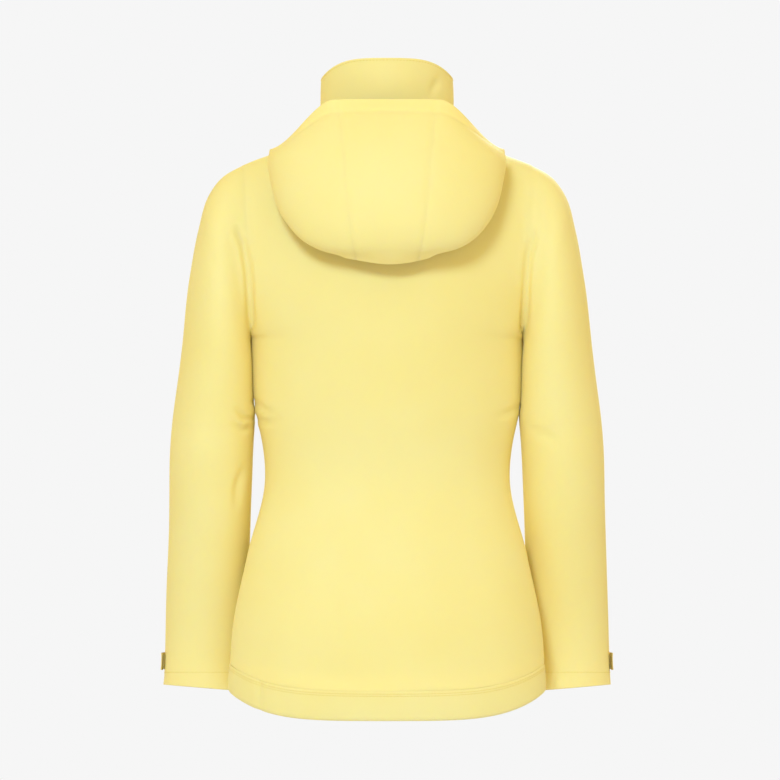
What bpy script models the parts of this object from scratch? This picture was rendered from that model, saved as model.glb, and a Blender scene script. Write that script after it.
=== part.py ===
"""A women's hooded ski jacket, hanging as worn, in metres.

The jacket faces -Y and its back faces +Y. Heights are counted from the lowest point of the hem,
and everything hangs from one empty that puts the object's origin at the hang loop in the neck.
"""

import math

import bmesh
import bpy
from mathutils import Matrix, Vector

# Cloth and clearances
SHELL_THICK = 0.0012
LINING_THICK = 0.0008
LINING_GAP = 0.007
SEAM_GAP = 0.0012
PIECE_GAP = 0.0004

# Body
BACK_LENGTH = 0.700
SHOULDER_DROP = 0.048
NECK_DROP = 0.012
ARMHOLE_DEPTH = 0.205
ARMHOLE_HALF_DEPTH = 0.056
SHOULDER_TO_WAIST = 0.377
WAIST_TO_HIP = 0.085
HEM_RISE = 0.030
HEM_HALF = 0.187
SEAT_HALF = 0.181
HIP_HALF = 0.1655
WAIST_HALF = 0.1456
RIB_HALF = 0.1535
CHEST_HALF = 0.158
SHOULDER_HALF = 0.170
HEM_BACK_Y = 0.125
WAIST_BACK_Y = 0.095
BLADE_BACK_Y = 0.118
HEM_SIDE_Y = 0.025
ZIP_FOOT_Y = -0.135
ZIP_LEAN = 0.0676
ZIP_HALF = 0.007

HEM_CHANNEL = 0.0065
HEM_SWEEP_V = 0.16
SWEEP_POWER = 4.5

# Where the panels end on the surface: hem casing, neck and shoulder, side seam
HEM_V = 0.034
TOP_V = 0.9965
SIDE_U = 0.9965
CORD_RADIUS = 0.0013

# Neck and collar
NECK_HALF = 0.078
NECK_BACK_Y = 0.062
NECK_SIDE_Y = -0.006
FRONT_NECK_DROP = 0.080
COLLAR_HEIGHT = 0.075
COLLAR_SIDE_HEIGHT = 0.066
COLLAR_LEAN = 0.005

# Sleeves
SLEEVE_DROP = 0.6230
ELBOW_DROP = 0.317
ELBOW_HALF = 0.0490
ELBOW_HALF_DEPTH = 0.062
ELBOW_X = 0.2065
ELBOW_Y = -0.008
CUFF_HALF = 0.0480
CUFF_HALF_DEPTH = 0.050
CUFF_X = 0.2195
CUFF_Y = -0.072
ELBOW_NOTCH = 0.014
FOREARM_LENGTH = 0.298
SLEEVE_SIDES = 20

# Hood, as it lies on the back
HOOD_HALF = 0.140
HOOD_BACK_Y = 0.168
HOOD_BRIM_Y = 0.092
HOOD_BRIM_RISE = 0.0255
HOOD_PANEL_HALF = 0.058
HOOD_FLAT = 0.060
HOOD_HINGE_Y = -0.090
HOOD_HINGE_RISE = 0.010
HOOD_LIE = 0.0045
BRIM_WIDTH = 0.018
HOOD_EDGE = 0.985
HOOD_LINING_EDGE = 0.95

# Zips
ZIP_FOOT = 0.012
ZIP_HEAD = 0.046
TEETH_GAP = 0.0005
TEETH_WIDTH = 0.0032
TEETH_OUT = 0.0014
TAPE_WIDTH = 0.0120
TAPE_BACK = 0.0028
TAPE_THICK = 0.0010
GUARD_HALF = 0.0130
FLAP_HALF = 0.0240
FLAP_THICK = 0.0012
SLIDER_THICK = 0.0034
PULLER_THICK = 0.0014
HEM_FLAP_RISE = 0.030
POCKET_LOW_U = 0.66
POCKET_LOW_V = 0.135
POCKET_HIGH_U = 0.54
POCKET_HIGH_V = 0.300
WELT_WIDTH = 0.014
WELT_THICK = 0.0014

# Inside
SKIRT_TOP_V = 0.285
SKIRT_LOW_V = 0.150
SKIRT_INSET = 0.011
LOOP_WIDTH = 0.050
LOOP_RISE = 0.014
LABEL_WIDTH = 0.040
LABEL_HEIGHT = 0.022

# Cord locks
LOCK_RADIUS = 0.0050
LOCK_LENGTH = 0.016
LOCK_WALL = 0.0012
LOCK_SIDES = 16
LOCK_CLEAR = 0.0030
BUTTON_LENGTH = 0.006
BUTTON_GAP = 0.0004
BUTTON_TRAVEL = 0.003

# Cuffs
TAB_RISE = 0.022
TAB_HEIGHT = 0.020
TAB_START = 14
PATCH_PROUD = 0.0018
PATCH_THICK = 0.0008
TAB_PROUD = 0.0036
TAB_THICK = 0.0018
PASS_TURN = -52
PASS_LOW_T = 0.62
PASS_HIGH_T = 0.26
PASS_LIFT = 0.0030

# Derived heights
SHOULDER_Z = BACK_LENGTH - SHOULDER_DROP
NECK_SIDE_Z = BACK_LENGTH - NECK_DROP
NECK_FRONT_Z = BACK_LENGTH - FRONT_NECK_DROP
UNDERARM_Z = SHOULDER_Z - ARMHOLE_DEPTH
WAIST_Z = SHOULDER_Z - SHOULDER_TO_WAIST
HIP_Z = WAIST_Z - WAIST_TO_HIP
SEAT_Z = HIP_Z * 0.52
ELBOW_Z = SHOULDER_Z - ELBOW_DROP
CUFF_Z = SHOULDER_Z - SLEEVE_DROP
LOOP_Y = NECK_BACK_Y - LINING_GAP - 0.007
HOOD_HINGE = (0, HOOD_HINGE_Y, BACK_LENGTH + HOOD_HINGE_RISE)

LEMON = (0.90, 0.78, 0.32, 1.0)
LEMON_LINING = (0.86, 0.84, 0.72, 1.0)
TRIM_GREY = (0.55, 0.55, 0.53, 1.0)
TRIM_WHITE = (0.85, 0.84, 0.78, 1.0)
STEEL = (0.62, 0.62, 0.60, 1.0)

SIDES = (("L", 1), ("R", -1))


def clear_scene():
    for obj in list(bpy.data.objects):
        bpy.data.objects.remove(obj, do_unlink=True)


def new_collection(name, helpers=False):
    collection = bpy.data.collections.new(name)
    bpy.context.scene.collection.children.link(collection)
    collection.hide_render = helpers
    return collection


def finish_material(name, color, roughness, metallic=0.0):
    material = bpy.data.materials.new(name)
    material.use_nodes = True
    shader = material.node_tree.nodes["Principled BSDF"]
    shader.inputs["Base Color"].default_value = color
    shader.inputs["Roughness"].default_value = roughness
    shader.inputs["Metallic"].default_value = metallic
    material.diffuse_color = color
    return material


def clear_and_prepare():
    clear_scene()
    parts = new_collection("ski_jacket")
    hanger = bpy.data.objects.new("jacket_origin", None)
    hanger.location = (0, -LOOP_Y, -BACK_LENGTH)
    parts.objects.link(hanger)
    return parts, hanger


def place(name, mesh, material, pivot=None):
    """Links a mesh as a node of the jacket, with its origin on the pivot of its joint if it has one."""
    obj = bpy.data.objects.new(name, mesh)
    PARTS.objects.link(obj)
    obj.parent = HANGER
    if pivot is not None:
        mesh.transform(Matrix.Translation(-Vector(pivot)))
        obj.location = pivot
    mesh.materials.append(material)
    return obj


def mesh_of(name, bm):
    mesh = bpy.data.meshes.new(name)
    bm.to_mesh(mesh)
    bm.free()
    mesh.shade_smooth()
    return mesh


def grid_mesh(name, rows, ring=False):
    """An open surface through rows of points; ring joins each row's end to its start."""
    bm = bmesh.new()
    grid = [[bm.verts.new(point) for point in row] for row in rows]
    columns = len(rows[0]) if ring else len(rows[0]) - 1
    for lower, upper in zip(grid, grid[1:]):
        for i in range(columns):
            j = (i + 1) % len(lower)
            bm.faces.new((lower[i], lower[j], upper[j], upper[i]))
    return mesh_of(name, bm)


def thicken(obj, thickness, mirror=False):
    if mirror:
        half = obj.modifiers.new("mirror", "MIRROR")
        half.merge_threshold = 0.00005
    solid = obj.modifiers.new("cloth", "SOLIDIFY")
    solid.thickness = thickness
    solid.offset = 0
    return obj


def cloth(name, rows, material, thickness=SHELL_THICK, ring=False, mirror=False, pivot=None):
    obj = place(name, grid_mesh(name, rows, ring), material, pivot)
    return thicken(obj, thickness, mirror)


def tube(name, points, radius, material, pivot=None):
    """A round cord through the points, made a mesh so that its place is in its vertices."""
    curve = bpy.data.curves.new(name, "CURVE")
    curve.dimensions = "3D"
    curve.bevel_depth = radius
    curve.bevel_resolution = 1
    curve.use_fill_caps = True
    line = curve.splines.new("POLY")
    line.points.add(len(points) - 1)
    for knot, point in zip(line.points, points):
        knot.co = (*point, 1)
    curve.materials.append(material)
    obj = bpy.data.objects.new(name, curve)
    PARTS.objects.link(obj)
    obj.parent = HANGER
    return obj


def prism(name, outline, start, end, across, out, material, pivot=None, bevel=0.0):
    """A straight bar from start to end, whose outline is points measured along across and out."""
    bm = bmesh.new()
    ends = []
    for base in (Vector(start), Vector(end)):
        ends.append([bm.verts.new(base + across * a + out * o) for a, o in outline])
    for i in range(len(outline)):
        j = (i + 1) % len(outline)
        bm.faces.new((ends[0][i], ends[0][j], ends[1][j], ends[1][i]))
    bm.faces.new(ends[0][::-1])
    bm.faces.new(ends[1])
    bmesh.ops.recalc_face_normals(bm, faces=bm.faces)
    obj = place(name, mesh_of(name, bm), material, pivot)
    obj.data.set_sharp_from_angle(angle=math.radians(40))
    if bevel:
        edge = obj.modifiers.new("round", "BEVEL")
        edge.width = bevel
        edge.segments = 2
    return obj


def box_outline(half, low, high):
    return ((-half, low), (half, low), (half, high), (-half, high))


def cube(name, material, size, center, pivot=None, bevel=0.0, turn=None):
    bm = bmesh.new()
    bmesh.ops.create_cube(bm, size=1.0)
    bmesh.ops.scale(bm, vec=size, verts=bm.verts)
    if turn is not None:
        bmesh.ops.transform(bm, matrix=turn, verts=bm.verts)
    bmesh.ops.translate(bm, vec=center, verts=bm.verts)
    obj = place(name, mesh_of(name, bm), material, pivot)
    if bevel:
        edge = obj.modifiers.new("round", "BEVEL")
        edge.width = bevel
        edge.segments = 2
    return obj


def spline(points, t):
    """A point at t, 0 to 1, on a smooth curve through the points."""
    spans = len(points) - 1
    k = min(int(t * spans), spans - 1)
    f = t * spans - k
    b, c = Vector(points[k]), Vector(points[k + 1])
    a = Vector(points[k - 1]) if k else b * 2 - c
    d = Vector(points[k + 2]) if k + 2 <= spans else c * 2 - b
    return (
        b
        + (c - a) * (0.5 * f)
        + (a - b * 2.5 + c * 2 - d * 0.5) * f**2
        + (b * 1.5 - a * 0.5 - c * 1.5 + d * 0.5) * f**3
    )


def spline_values(rows, t):
    """The same curve as spline, through rows of more than three values."""
    halves = [spline([row[i : i + 3] for row in rows], t) for i in (0, len(rows[0]) - 3)]
    return (*halves[0][: len(rows[0]) - 3], *halves[1])


def mix(a, b, t):
    return a + (b - a) * t


def smooth(t):
    t = min(max(t, 0.0), 1.0)
    return t * t * (3 - 2 * t)


def zip_y(z):
    """The centre front is one straight line, so that the zip's slider can run down it."""
    return ZIP_FOOT_Y + ZIP_LEAN * z


# The body's surface, one quarter at a time: face is 1 for the back and -1 for the front,
# u runs from the centre line to the side and v from the hem to the shoulder.


def lower_section(face, t):
    """Half width, centre y, side y, centre height and side height, from hem (0) to underarm (1)."""
    halves = (HEM_HALF, SEAT_HALF, HIP_HALF, WAIST_HALF, RIB_HALF, CHEST_HALF)
    rib = mix(WAIST_Z, UNDERARM_Z, 0.5)
    heights = (0.0, SEAT_Z, HIP_Z, WAIST_Z, rib, UNDERARM_Z)
    backs = (
        HEM_BACK_Y,
        HEM_BACK_Y,
        mix(HEM_BACK_Y, WAIST_BACK_Y, 0.55),
        WAIST_BACK_Y,
        mix(WAIST_BACK_Y, BLADE_BACK_Y, 0.45),
        mix(WAIST_BACK_Y, BLADE_BACK_Y, 0.85),
    )
    rows = [(w, b, z) for w, b, z in zip(halves, backs, heights)]
    half, back, z = spline(rows, t)
    side_z = z + HEM_RISE * (1 - smooth(t * 2.5))
    side_y = HEM_SIDE_Y * (1 - smooth(t * 1.3))
    return half, back if face > 0 else zip_y(z), side_y, z, side_z


def armhole_point(t, out=0.0, grow=0.0):
    """A point on the armhole's edge: t is 0 at the shoulder, 0.5 at the underarm, going round the back."""
    angle = 2 * math.pi * t
    z = mix(UNDERARM_Z, SHOULDER_Z, 0.5) + (ARMHOLE_DEPTH / 2 + grow) * math.cos(angle)
    x = mix(CHEST_HALF, SHOULDER_HALF, smooth((z - UNDERARM_Z) / ARMHOLE_DEPTH))
    return Vector((x + out, (ARMHOLE_HALF_DEPTH + grow) * math.sin(angle), z))


def top_line(face, u):
    """Neck seam for the first half of u, shoulder seam for the rest."""
    if u <= 0.5:
        angle = math.pi * u
        start = ZIP_HALF if face < 0 else 0.0
        x = start + (NECK_HALF - start) * math.sin(angle)
        center = NECK_BACK_Y if face > 0 else zip_y(NECK_FRONT_Z)
        low = BACK_LENGTH if face > 0 else NECK_FRONT_Z
        y = mix(NECK_SIDE_Y, center, math.cos(angle))
        return Vector((x, y, mix(low, NECK_SIDE_Z, math.sin(angle) ** 2)))
    t = (u - 0.5) * 2
    y = NECK_SIDE_Y * (1 - t) + SEAM_GAP * face * 0.7
    return Vector((mix(NECK_HALF, SHOULDER_HALF, t), y, mix(NECK_SIDE_Z, SHOULDER_Z, t)))


def arc(face, u, center, side, opening, sweep=0.0):
    """A point between the centre line and the side, on an arc that turns by the opening angle.

    sweep, 0 to 1, keeps the middle of the line low and turns its height up only near the side.
    """
    turn = u * opening
    start = ZIP_HALF if face < 0 else 0.0
    x = mix(start, side.x, math.sin(turn) / math.sin(opening))
    y = mix(center.y, side.y, (1 - math.cos(turn)) / (1 - math.cos(opening)))
    climb = mix(smooth(u), max(math.sin(turn), 0) ** SWEEP_POWER, sweep)
    return Vector((x, y, mix(center.z, side.z, climb)))


def outer_point(face, u, v):
    """v is 0 at the hem, 0.5 at the underarm and 1 along the neck and shoulder."""
    if v <= 0.5:
        half, center_y, side_y, z, side_z = lower_section(face, v * 2)
        center, side = Vector((0, center_y, z)), Vector((half, side_y, side_z))
        point = arc(face, u, center, side, math.pi / 2, 1 - smooth(v / HEM_SWEEP_V))
    else:
        q = (v - 0.5) * 2
        side = armhole_point(0.5 * (1 - q) if face > 0 else 0.5 * (1 + q))
        low = lower_section(face, 1)
        if face > 0:
            middle = ((0, low[1], UNDERARM_Z), (0, BLADE_BACK_Y, mix(UNDERARM_Z, BACK_LENGTH, 0.40)))
            ends = ((0, mix(BLADE_BACK_Y, NECK_BACK_Y, 0.42), mix(UNDERARM_Z, BACK_LENGTH, 0.78)),)
            center = spline(middle + ends + ((0, NECK_BACK_Y, BACK_LENGTH),), q)
        else:
            z = mix(UNDERARM_Z, NECK_FRONT_Z, q)
            center = Vector((0, zip_y(z), z))
        opening = math.pi / 2 * mix(1, 0.6, smooth(q * 2))
        point = arc(face, u, center, side, opening).lerp(top_line(face, u), q**4)
    return point


def body_point(face, u, v, inset=0.0):
    """A point of the outer surface, or one that lies inset inside it."""
    point = outer_point(face, u, v)
    if inset == 0:
        return point
    step = 0.01
    along = outer_point(face, min(u + step, 1), v) - outer_point(face, max(u - step, 0), v)
    up = outer_point(face, u, min(v + step, 1)) - outer_point(face, u, max(v - step, 0))
    return point + along.cross(up).normalized() * (face * inset)


def body_rows(face, u_ends, v_ends, columns, rows, inset=0.0, side=1):
    grid = []
    for r in range(rows + 1):
        v = mix(*v_ends, r / rows)
        line = [body_point(face, mix(*u_ends, c / columns), v, inset) for c in range(columns + 1)]
        if face > 0 and u_ends[0] == 0:
            line[0].x = 0
        grid.append([Vector((p.x * side, p.y, p.z)) for p in line])
    return grid


def back_panel():
    cloth("back_panel", body_rows(1, (0, SIDE_U), (HEM_V, TOP_V), 8, 14), SHELL, mirror=True)


def front_panel(tag, side):
    rows = body_rows(-1, (0, SIDE_U), (HEM_V, TOP_V), 8, 14, side=side)
    cloth("front_panel_" + tag, rows, SHELL)


def hem_row(v, inset):
    """Round the whole hem, from the right zip tape by the back to the left one."""
    back = [body_point(1, c / 10, v, inset) for c in range(11)]
    front = [body_point(-1, c / 9, v, inset) for c in range(9)]
    half = back + front[::-1]
    return [Vector((-p.x, p.y, p.z)) for p in half[:0:-1]] + half


def hem_casing():
    """The turned-up hem, a channel open at its top, with the drawcord inside it."""
    low, high = HEM_V * 0.08, HEM_V * 0.93
    channel = ((high, 0), (HEM_V * 0.45, 0), (low, 0.0002), (0, 0.0014))
    channel += ((0, HEM_CHANNEL - 0.0014), (low, HEM_CHANNEL), (high, HEM_CHANNEL))
    cloth("hem_casing", [hem_row(*place) for place in channel], SHELL)
    route = hem_row(HEM_V * 0.5, HEM_CHANNEL / 2)
    tube("hem_drawcord", route[1:-1], CORD_RADIUS, CORD)


def collar_point(t, rise, inset=0.0):
    """t runs 0 to 1 from one front edge round the back to the other, rise 0 to 1 up the collar."""
    angle = math.pi * (t * 2 - 1)
    turn = math.cos(angle)
    if turn >= 0:
        base = top_line(1, abs(angle) / math.pi)
    else:
        base = top_line(-1, 1 - abs(angle) / math.pi)
    base.z += SEAM_GAP * 2
    low, high = BACK_LENGTH - NECK_DROP + COLLAR_SIDE_HEIGHT, BACK_LENGTH + COLLAR_HEIGHT
    height = mix(high, low, (abs(base.x) / NECK_HALF) ** 4) if turn >= 0 else low
    far = NECK_BACK_Y + COLLAR_LEAN if turn >= 0 else zip_y(height)
    top = Vector((base.x, mix(NECK_SIDE_Y, far, abs(turn)), height))
    point = base.lerp(top, rise)
    middle = Vector((0, mix(NECK_SIDE_Y, zip_y(height), 0.1), point.z))
    point -= (point - middle).normalized() * inset
    return Vector((math.copysign(point.x, t - 0.5), point.y, point.z))


def collar_rows(inset, rises, edge, columns=24):
    grid = []
    for rise in rises:
        turns = [mix(edge, 1 - edge, c / columns) for c in range(columns + 1)]
        grid.append([collar_point(t, rise, inset) for t in turns])
    return grid


def collar():
    cloth("collar_shell", collar_rows(0, (0, 0.5, 1), 0.015), SHELL)
    lining = collar_rows(LINING_GAP, (0.02, 0.5, 0.98), 0.045)
    cloth("collar_lining", lining, LINING, thickness=LINING_THICK)


# Sleeves: rings from the armhole to the cuff, each between its outer and inner point.


def sleeve_ring(outer, inner, center_y, half_depth, slope=0.0, inset=0.0):
    """slope tips the ring so that its front stands higher than its back."""
    outer, inner = Vector(outer), Vector(inner)
    middle = (outer + inner) / 2
    reach = (outer - inner) / 2
    reach *= 1 - inset / reach.length
    depth = half_depth - inset
    ring = []
    for k in range(SLEEVE_SIDES):
        angle = 2 * math.pi * k / SLEEVE_SIDES
        side = math.sin(angle) * depth
        point = middle + reach * math.cos(angle)
        ring.append(Vector((point.x, center_y + side, point.z - slope * side)))
    return ring


def upper_sleeve_rings(inset=0.0):
    top, low = armhole_point(0), armhole_point(0.5)
    gap = SEAM_GAP * 1.6
    rings = [
        sleeve_ring((top.x + gap, 0, top.z), (low.x + gap, 0, low.z), 0, ARMHOLE_HALF_DEPTH, 0, inset),
    ]
    # Drop below the shoulder point, outer x and inner x, for the outer and the inner line.
    cap = (
        (0.010, 0.0230, 0.205, 0.0060, 0.0585),
        (0.034, 0.0405, 0.212, 0.0080, 0.0650),
        (0.075, 0.0530, 0.222, 0.0085, 0.0700),
        (0.130, 0.0630, 0.238, 0.0080, 0.0715),
        (0.210, 0.0730, 0.262, 0.0040, 0.0685),
    )
    for outer_drop, outer_out, inner_drop, inner_out, depth in cap:
        outer = (SHOULDER_HALF + outer_out, 0, SHOULDER_Z - outer_drop)
        inner = (CHEST_HALF + inner_out, 0, SHOULDER_Z - inner_drop)
        rings.append(sleeve_ring(outer, inner, 0, depth, 0, inset))
    end = ELBOW_Z + ELBOW_NOTCH * 0.5 + SEAM_GAP
    slope = ELBOW_NOTCH / (2 * ELBOW_HALF_DEPTH)
    outer = (ELBOW_X + ELBOW_HALF, 0, end)
    inner = (ELBOW_X - ELBOW_HALF, 0, end)
    rings.append(sleeve_ring(outer, inner, ELBOW_Y, ELBOW_HALF_DEPTH, slope, inset))
    return rings


def lower_sleeve_ring(t, inset=0.0, end=0.0):
    """A ring of the forearm, t 0 at the elbow and 1 at the cuff."""
    x = mix(ELBOW_X, CUFF_X, t)
    forward = t * (ELBOW_Z - CUFF_Z) / FOREARM_LENGTH
    y = mix(ELBOW_Y, CUFF_Y, mix(forward, smooth(forward), 0.6))
    half = mix(ELBOW_HALF, CUFF_HALF, t)
    depth = mix(ELBOW_HALF_DEPTH, CUFF_HALF_DEPTH, t)
    z = mix(ELBOW_Z - ELBOW_NOTCH * 0.5 - SEAM_GAP, CUFF_Z, t) + end
    slope = mix(-ELBOW_NOTCH / (2 * ELBOW_HALF_DEPTH), -0.05, t)
    return sleeve_ring((x + half, 0, z), (x - half, 0, z), y, depth, slope, inset)


def sided(rings, side):
    return [[Vector((p.x * side, p.y, p.z)) for p in ring] for ring in rings]


def shoulder_pivot(side):
    return Vector((SHOULDER_HALF * side, 0, SHOULDER_Z + 0.003))


def elbow_pivot(side):
    return Vector((ELBOW_X * side, ELBOW_Y - ELBOW_HALF_DEPTH + ELBOW_NOTCH * 0.6, ELBOW_Z))


def sleeve(tag, side):
    pivot, bend = shoulder_pivot(side), elbow_pivot(side)
    upper = sided(upper_sleeve_rings(), side)
    cloth("upper_sleeve_" + tag, upper, SHELL, ring=True, pivot=pivot)
    inner = sided(upper_sleeve_rings(LINING_GAP), side)
    cloth("upper_sleeve_lining_" + tag, inner, LINING, LINING_THICK, ring=True, pivot=pivot)
    steps = 6
    lower = [lower_sleeve_ring(k / steps) for k in range(steps + 1)]
    cloth("lower_sleeve_" + tag, sided(lower, side), SHELL, ring=True, pivot=bend)


ZIP_RUN = Vector((0, ZIP_LEAN, 1)).normalized()
ZIP_OUT = Vector((0, -1, ZIP_LEAN)).normalized()
ACROSS = Vector((1, 0, 0))


def zip_point(z, out=0.0):
    return Vector((0, zip_y(z), z)) + ZIP_OUT * out


def main_zip():
    foot, head = zip_point(ZIP_FOOT), zip_point(BACK_LENGTH + ZIP_HEAD)
    for tag, side in SIDES:
        outline = (
            (TEETH_GAP, -TAPE_BACK),
            (TAPE_WIDTH, -TAPE_BACK),
            (TAPE_WIDTH, TAPE_THICK - TAPE_BACK),
            (TEETH_WIDTH, TAPE_THICK - TAPE_BACK),
            (TEETH_WIDTH, TEETH_OUT),
            (TEETH_GAP, TEETH_OUT),
        )
        prism("zip_tape_" + tag, outline, foot, head, ACROSS * side, ZIP_OUT, TAPE)
    front = -TAPE_BACK - PIECE_GAP
    guard_foot = zip_point(NECK_FRONT_Z + 0.004)
    guard_head = zip_point(BACK_LENGTH + ZIP_HEAD + 0.004)
    guard = box_outline(GUARD_HALF, front - FLAP_THICK, front)
    prism("chin_guard", guard, guard_foot, guard_head, ACROSS, ZIP_OUT, LINING)
    front -= 0.0012
    flap_head = zip_point(NECK_FRONT_Z - 0.030)
    flap = box_outline(FLAP_HALF, front - FLAP_THICK, front)
    prism("storm_flap", flap, zip_point(ZIP_FOOT + HEM_FLAP_RISE), flap_head, ACROSS, ZIP_OUT, SHELL)


def slider_and_puller(name, top, run, out, surface, width, length):
    """A zip's slider just below top, and the puller that hangs from it; run points back up the zip."""
    across = run.cross(out)
    high = top + out * surface
    low = high - run * length
    body = box_outline(width / 2, PIECE_GAP, SLIDER_THICK)
    prism(name + "_slider", body, low, high, across, out, METAL, bevel=0.0004)
    ledge = SLIDER_THICK + PIECE_GAP
    hinge = high - run * (length * 0.25) + out * (ledge + PULLER_THICK / 2)
    tip = hinge - run * (length * 2.6)
    plate = box_outline(width * 0.33, -PULLER_THICK / 2, PULLER_THICK / 2)
    prism(name + "_puller", plate, tip, hinge, across, out, METAL, pivot=hinge, bevel=0.0004)


def pocket_line(side):
    """The hand pocket's opening: its lower and upper end just clear of the front panel."""
    low = body_point(-1, POCKET_LOW_U, POCKET_LOW_V)
    high = body_point(-1, POCKET_HIGH_U, POCKET_HIGH_V)
    run = (high - low).normalized()
    middle = (POCKET_LOW_U + POCKET_HIGH_U) / 2
    v = (POCKET_LOW_V + POCKET_HIGH_V) / 2
    tangent = body_point(-1, middle + 0.05, v) - body_point(-1, middle - 0.05, v)
    out = run.cross(tangent).normalized()
    out = out if out.y < 0 else -out
    rise = 0.0
    for k in range(13):
        t = k / 12
        u, v = mix(POCKET_LOW_U, POCKET_HIGH_U, t), mix(POCKET_LOW_V, POCKET_HIGH_V, t)
        for shift in (-0.045, 0, 0.045):
            rise = max(rise, (body_point(-1, u + shift, v) - low).dot(out))
    lift = out * (rise + SHELL_THICK / 2 + PIECE_GAP)
    flip = Vector((side, 1, 1))
    return (low + lift) * flip, (high + lift) * flip, run * flip, out * flip


def hand_pocket(tag, side):
    low, high, run, out = pocket_line(side)
    welt = box_outline(WELT_WIDTH / 2, 0, WELT_THICK)
    prism("hand_pocket_zip_" + tag, welt, low, high, run.cross(out), out, TAPE)
    slider_and_puller("hand_pocket_" + tag, high - run * 0.004, run, out, WELT_THICK, 0.0065, 0.009)
    u_ends = (POCKET_HIGH_U - 0.18, POCKET_LOW_U + 0.10)
    bag = body_rows(-1, u_ends, (POCKET_LOW_V - 0.02, POCKET_HIGH_V - 0.01), 5, 5, LINING_GAP * 0.52, side)
    cloth("hand_pocket_bag_" + tag, bag, LINING, thickness=LINING_THICK)


def linings():
    back = body_rows(1, (0, SIDE_U - 0.01), (HEM_V + 0.012, TOP_V - 0.032), 7, 11, LINING_GAP)
    cloth("back_lining", back, LINING, LINING_THICK, mirror=True)
    for tag, side in SIDES:
        u_ends, v_ends = (0.16, SIDE_U - 0.01), (HEM_V + 0.012, TOP_V - 0.032)
        front = body_rows(-1, u_ends, v_ends, 6, 11, LINING_GAP, side)
        cloth("front_lining_" + tag, front, LINING, LINING_THICK)


def powder_skirt():
    rows = []
    for t in (0, 0.5, 1):
        v, inset = mix(SKIRT_TOP_V, SKIRT_LOW_V, t), mix(SKIRT_INSET, SKIRT_INSET + 0.006, t)
        back = [body_point(1, c / 9, v, inset) for c in range(10)]
        front = [body_point(-1, mix(0.20, 1, c / 7), v, inset) for c in range(7)]
        half = back + front[::-1]
        rows.append([Vector((-p.x, p.y, p.z)) for p in half[:0:-1]] + half)
    cloth("powder_skirt", rows, LINING, LINING_THICK)


def hang_loop_and_label():
    half, rise = LOOP_WIDTH / 2, LOOP_RISE
    points = []
    for k in range(9):
        angle = math.pi * k / 8
        height = BACK_LENGTH - rise + (rise + 0.0015) * math.sin(angle)
        points.append((-half * math.cos(angle), LOOP_Y, height))
    tube("hang_loop", points, 0.0014, CORD)
    inner = body_point(1, 0, TOP_V - 0.05, LINING_GAP)
    center = (0, inner.y - 0.012, inner.z - LABEL_HEIGHT / 2 - 0.012)
    cube("neck_label", TRIM, (LABEL_WIDTH, 0.0006, LABEL_HEIGHT), center)


def turned(name, profile, center, material):
    """A round piece: a profile of (radius, height) points turned about the vertical through its centre."""
    bm = bmesh.new()
    points = [bm.verts.new((radius, 0, height)) for radius, height in profile]
    for first, second in zip(points, points[1:]):
        bm.edges.new((first, second))
    mesh = bpy.data.meshes.new(name)
    bm.to_mesh(mesh)
    bm.free()
    obj = place(name, mesh, material)
    obj.location = center
    lathe = obj.modifiers.new("turn", "SCREW")
    lathe.steps = LOCK_SIDES
    lathe.render_steps = LOCK_SIDES
    lathe.use_merge_vertices = True
    lathe.merge_threshold = 0.00005
    lathe.use_smooth_shade = False
    return obj


def cord_lock(name, center):
    """A cord lock: a barrel open at its top, with the sprung button's plunger inside it."""
    half, floor = LOCK_LENGTH / 2, LOCK_WALL - LOCK_LENGTH / 2
    bore = LOCK_RADIUS - LOCK_WALL
    inside = ((0, floor), (bore, floor), (bore, half))
    turned(name, inside + ((LOCK_RADIUS, half), (LOCK_RADIUS, -half), (0, -half)), center, TRIM)
    plunger = bore - BUTTON_GAP
    top, foot = half + BUTTON_TRAVEL + BUTTON_GAP, half - BUTTON_LENGTH
    turned(name + "_button", ((0, top), (plunger, top), (plunger, foot), (0, foot)), center, TRIM)


def hem_locks():
    for tag, side in SIDES:
        at = body_point(-1, 0.80, HEM_V * 1.2, LINING_GAP + LOCK_RADIUS + LOCK_CLEAR)
        cord_lock("hem_cord_lock_" + tag, Vector((at.x * side, at.y, at.z)))


def cuff_band(side, turns, heights, proud, steps=6):
    """Rows round the outside of the cuff, between two turns in degrees: 0 is outermost, -90 the front."""
    rows = []
    for height in heights:
        t = 1 - (height - CUFF_Z) / (ELBOW_Z - CUFF_Z)
        ring = lower_sleeve_ring(t, -proud)
        middle = (ring[0] + ring[SLEEVE_SIDES // 2]) / 2
        reach_x = (ring[0] - middle).length
        depth = (ring[SLEEVE_SIDES // 4] - middle).y
        row = []
        for k in range(steps + 1):
            angle = math.radians(mix(*turns, k / steps))
            x, y = middle.x + reach_x * math.cos(angle), middle.y + depth * math.sin(angle)
            row.append(Vector((x * side, y, height)))
        rows.append(row)
    return rows


def cuff(tag, side):
    bend = elbow_pivot(side)
    gaiter = []
    for t, inset in ((0.66, 0.0105), (0.80, 0.0125), (0.93, 0.0165)):
        gaiter.append(lower_sleeve_ring(t, inset))
    cloth("cuff_gaiter_" + tag, sided(gaiter, side), LINING, 0.0012, ring=True, pivot=bend)
    low, high = CUFF_Z + TAB_RISE, CUFF_Z + TAB_RISE + TAB_HEIGHT
    patch = cuff_band(side, (-82, TAB_START - 18), (low + 0.002, high - 0.002), PATCH_PROUD)
    cloth("loop_patch_" + tag, patch, TRIM_CLOTH, PATCH_THICK, pivot=bend)
    tab = cuff_band(side, (-74, TAB_START), (low, high), TAB_PROUD)
    hinge = Vector(tab[0][-1])
    hinge.z = mix(low, high, 0.5)
    cloth("cuff_tab_" + tag, tab, TRIM, TAB_THICK, pivot=hinge)


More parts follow.
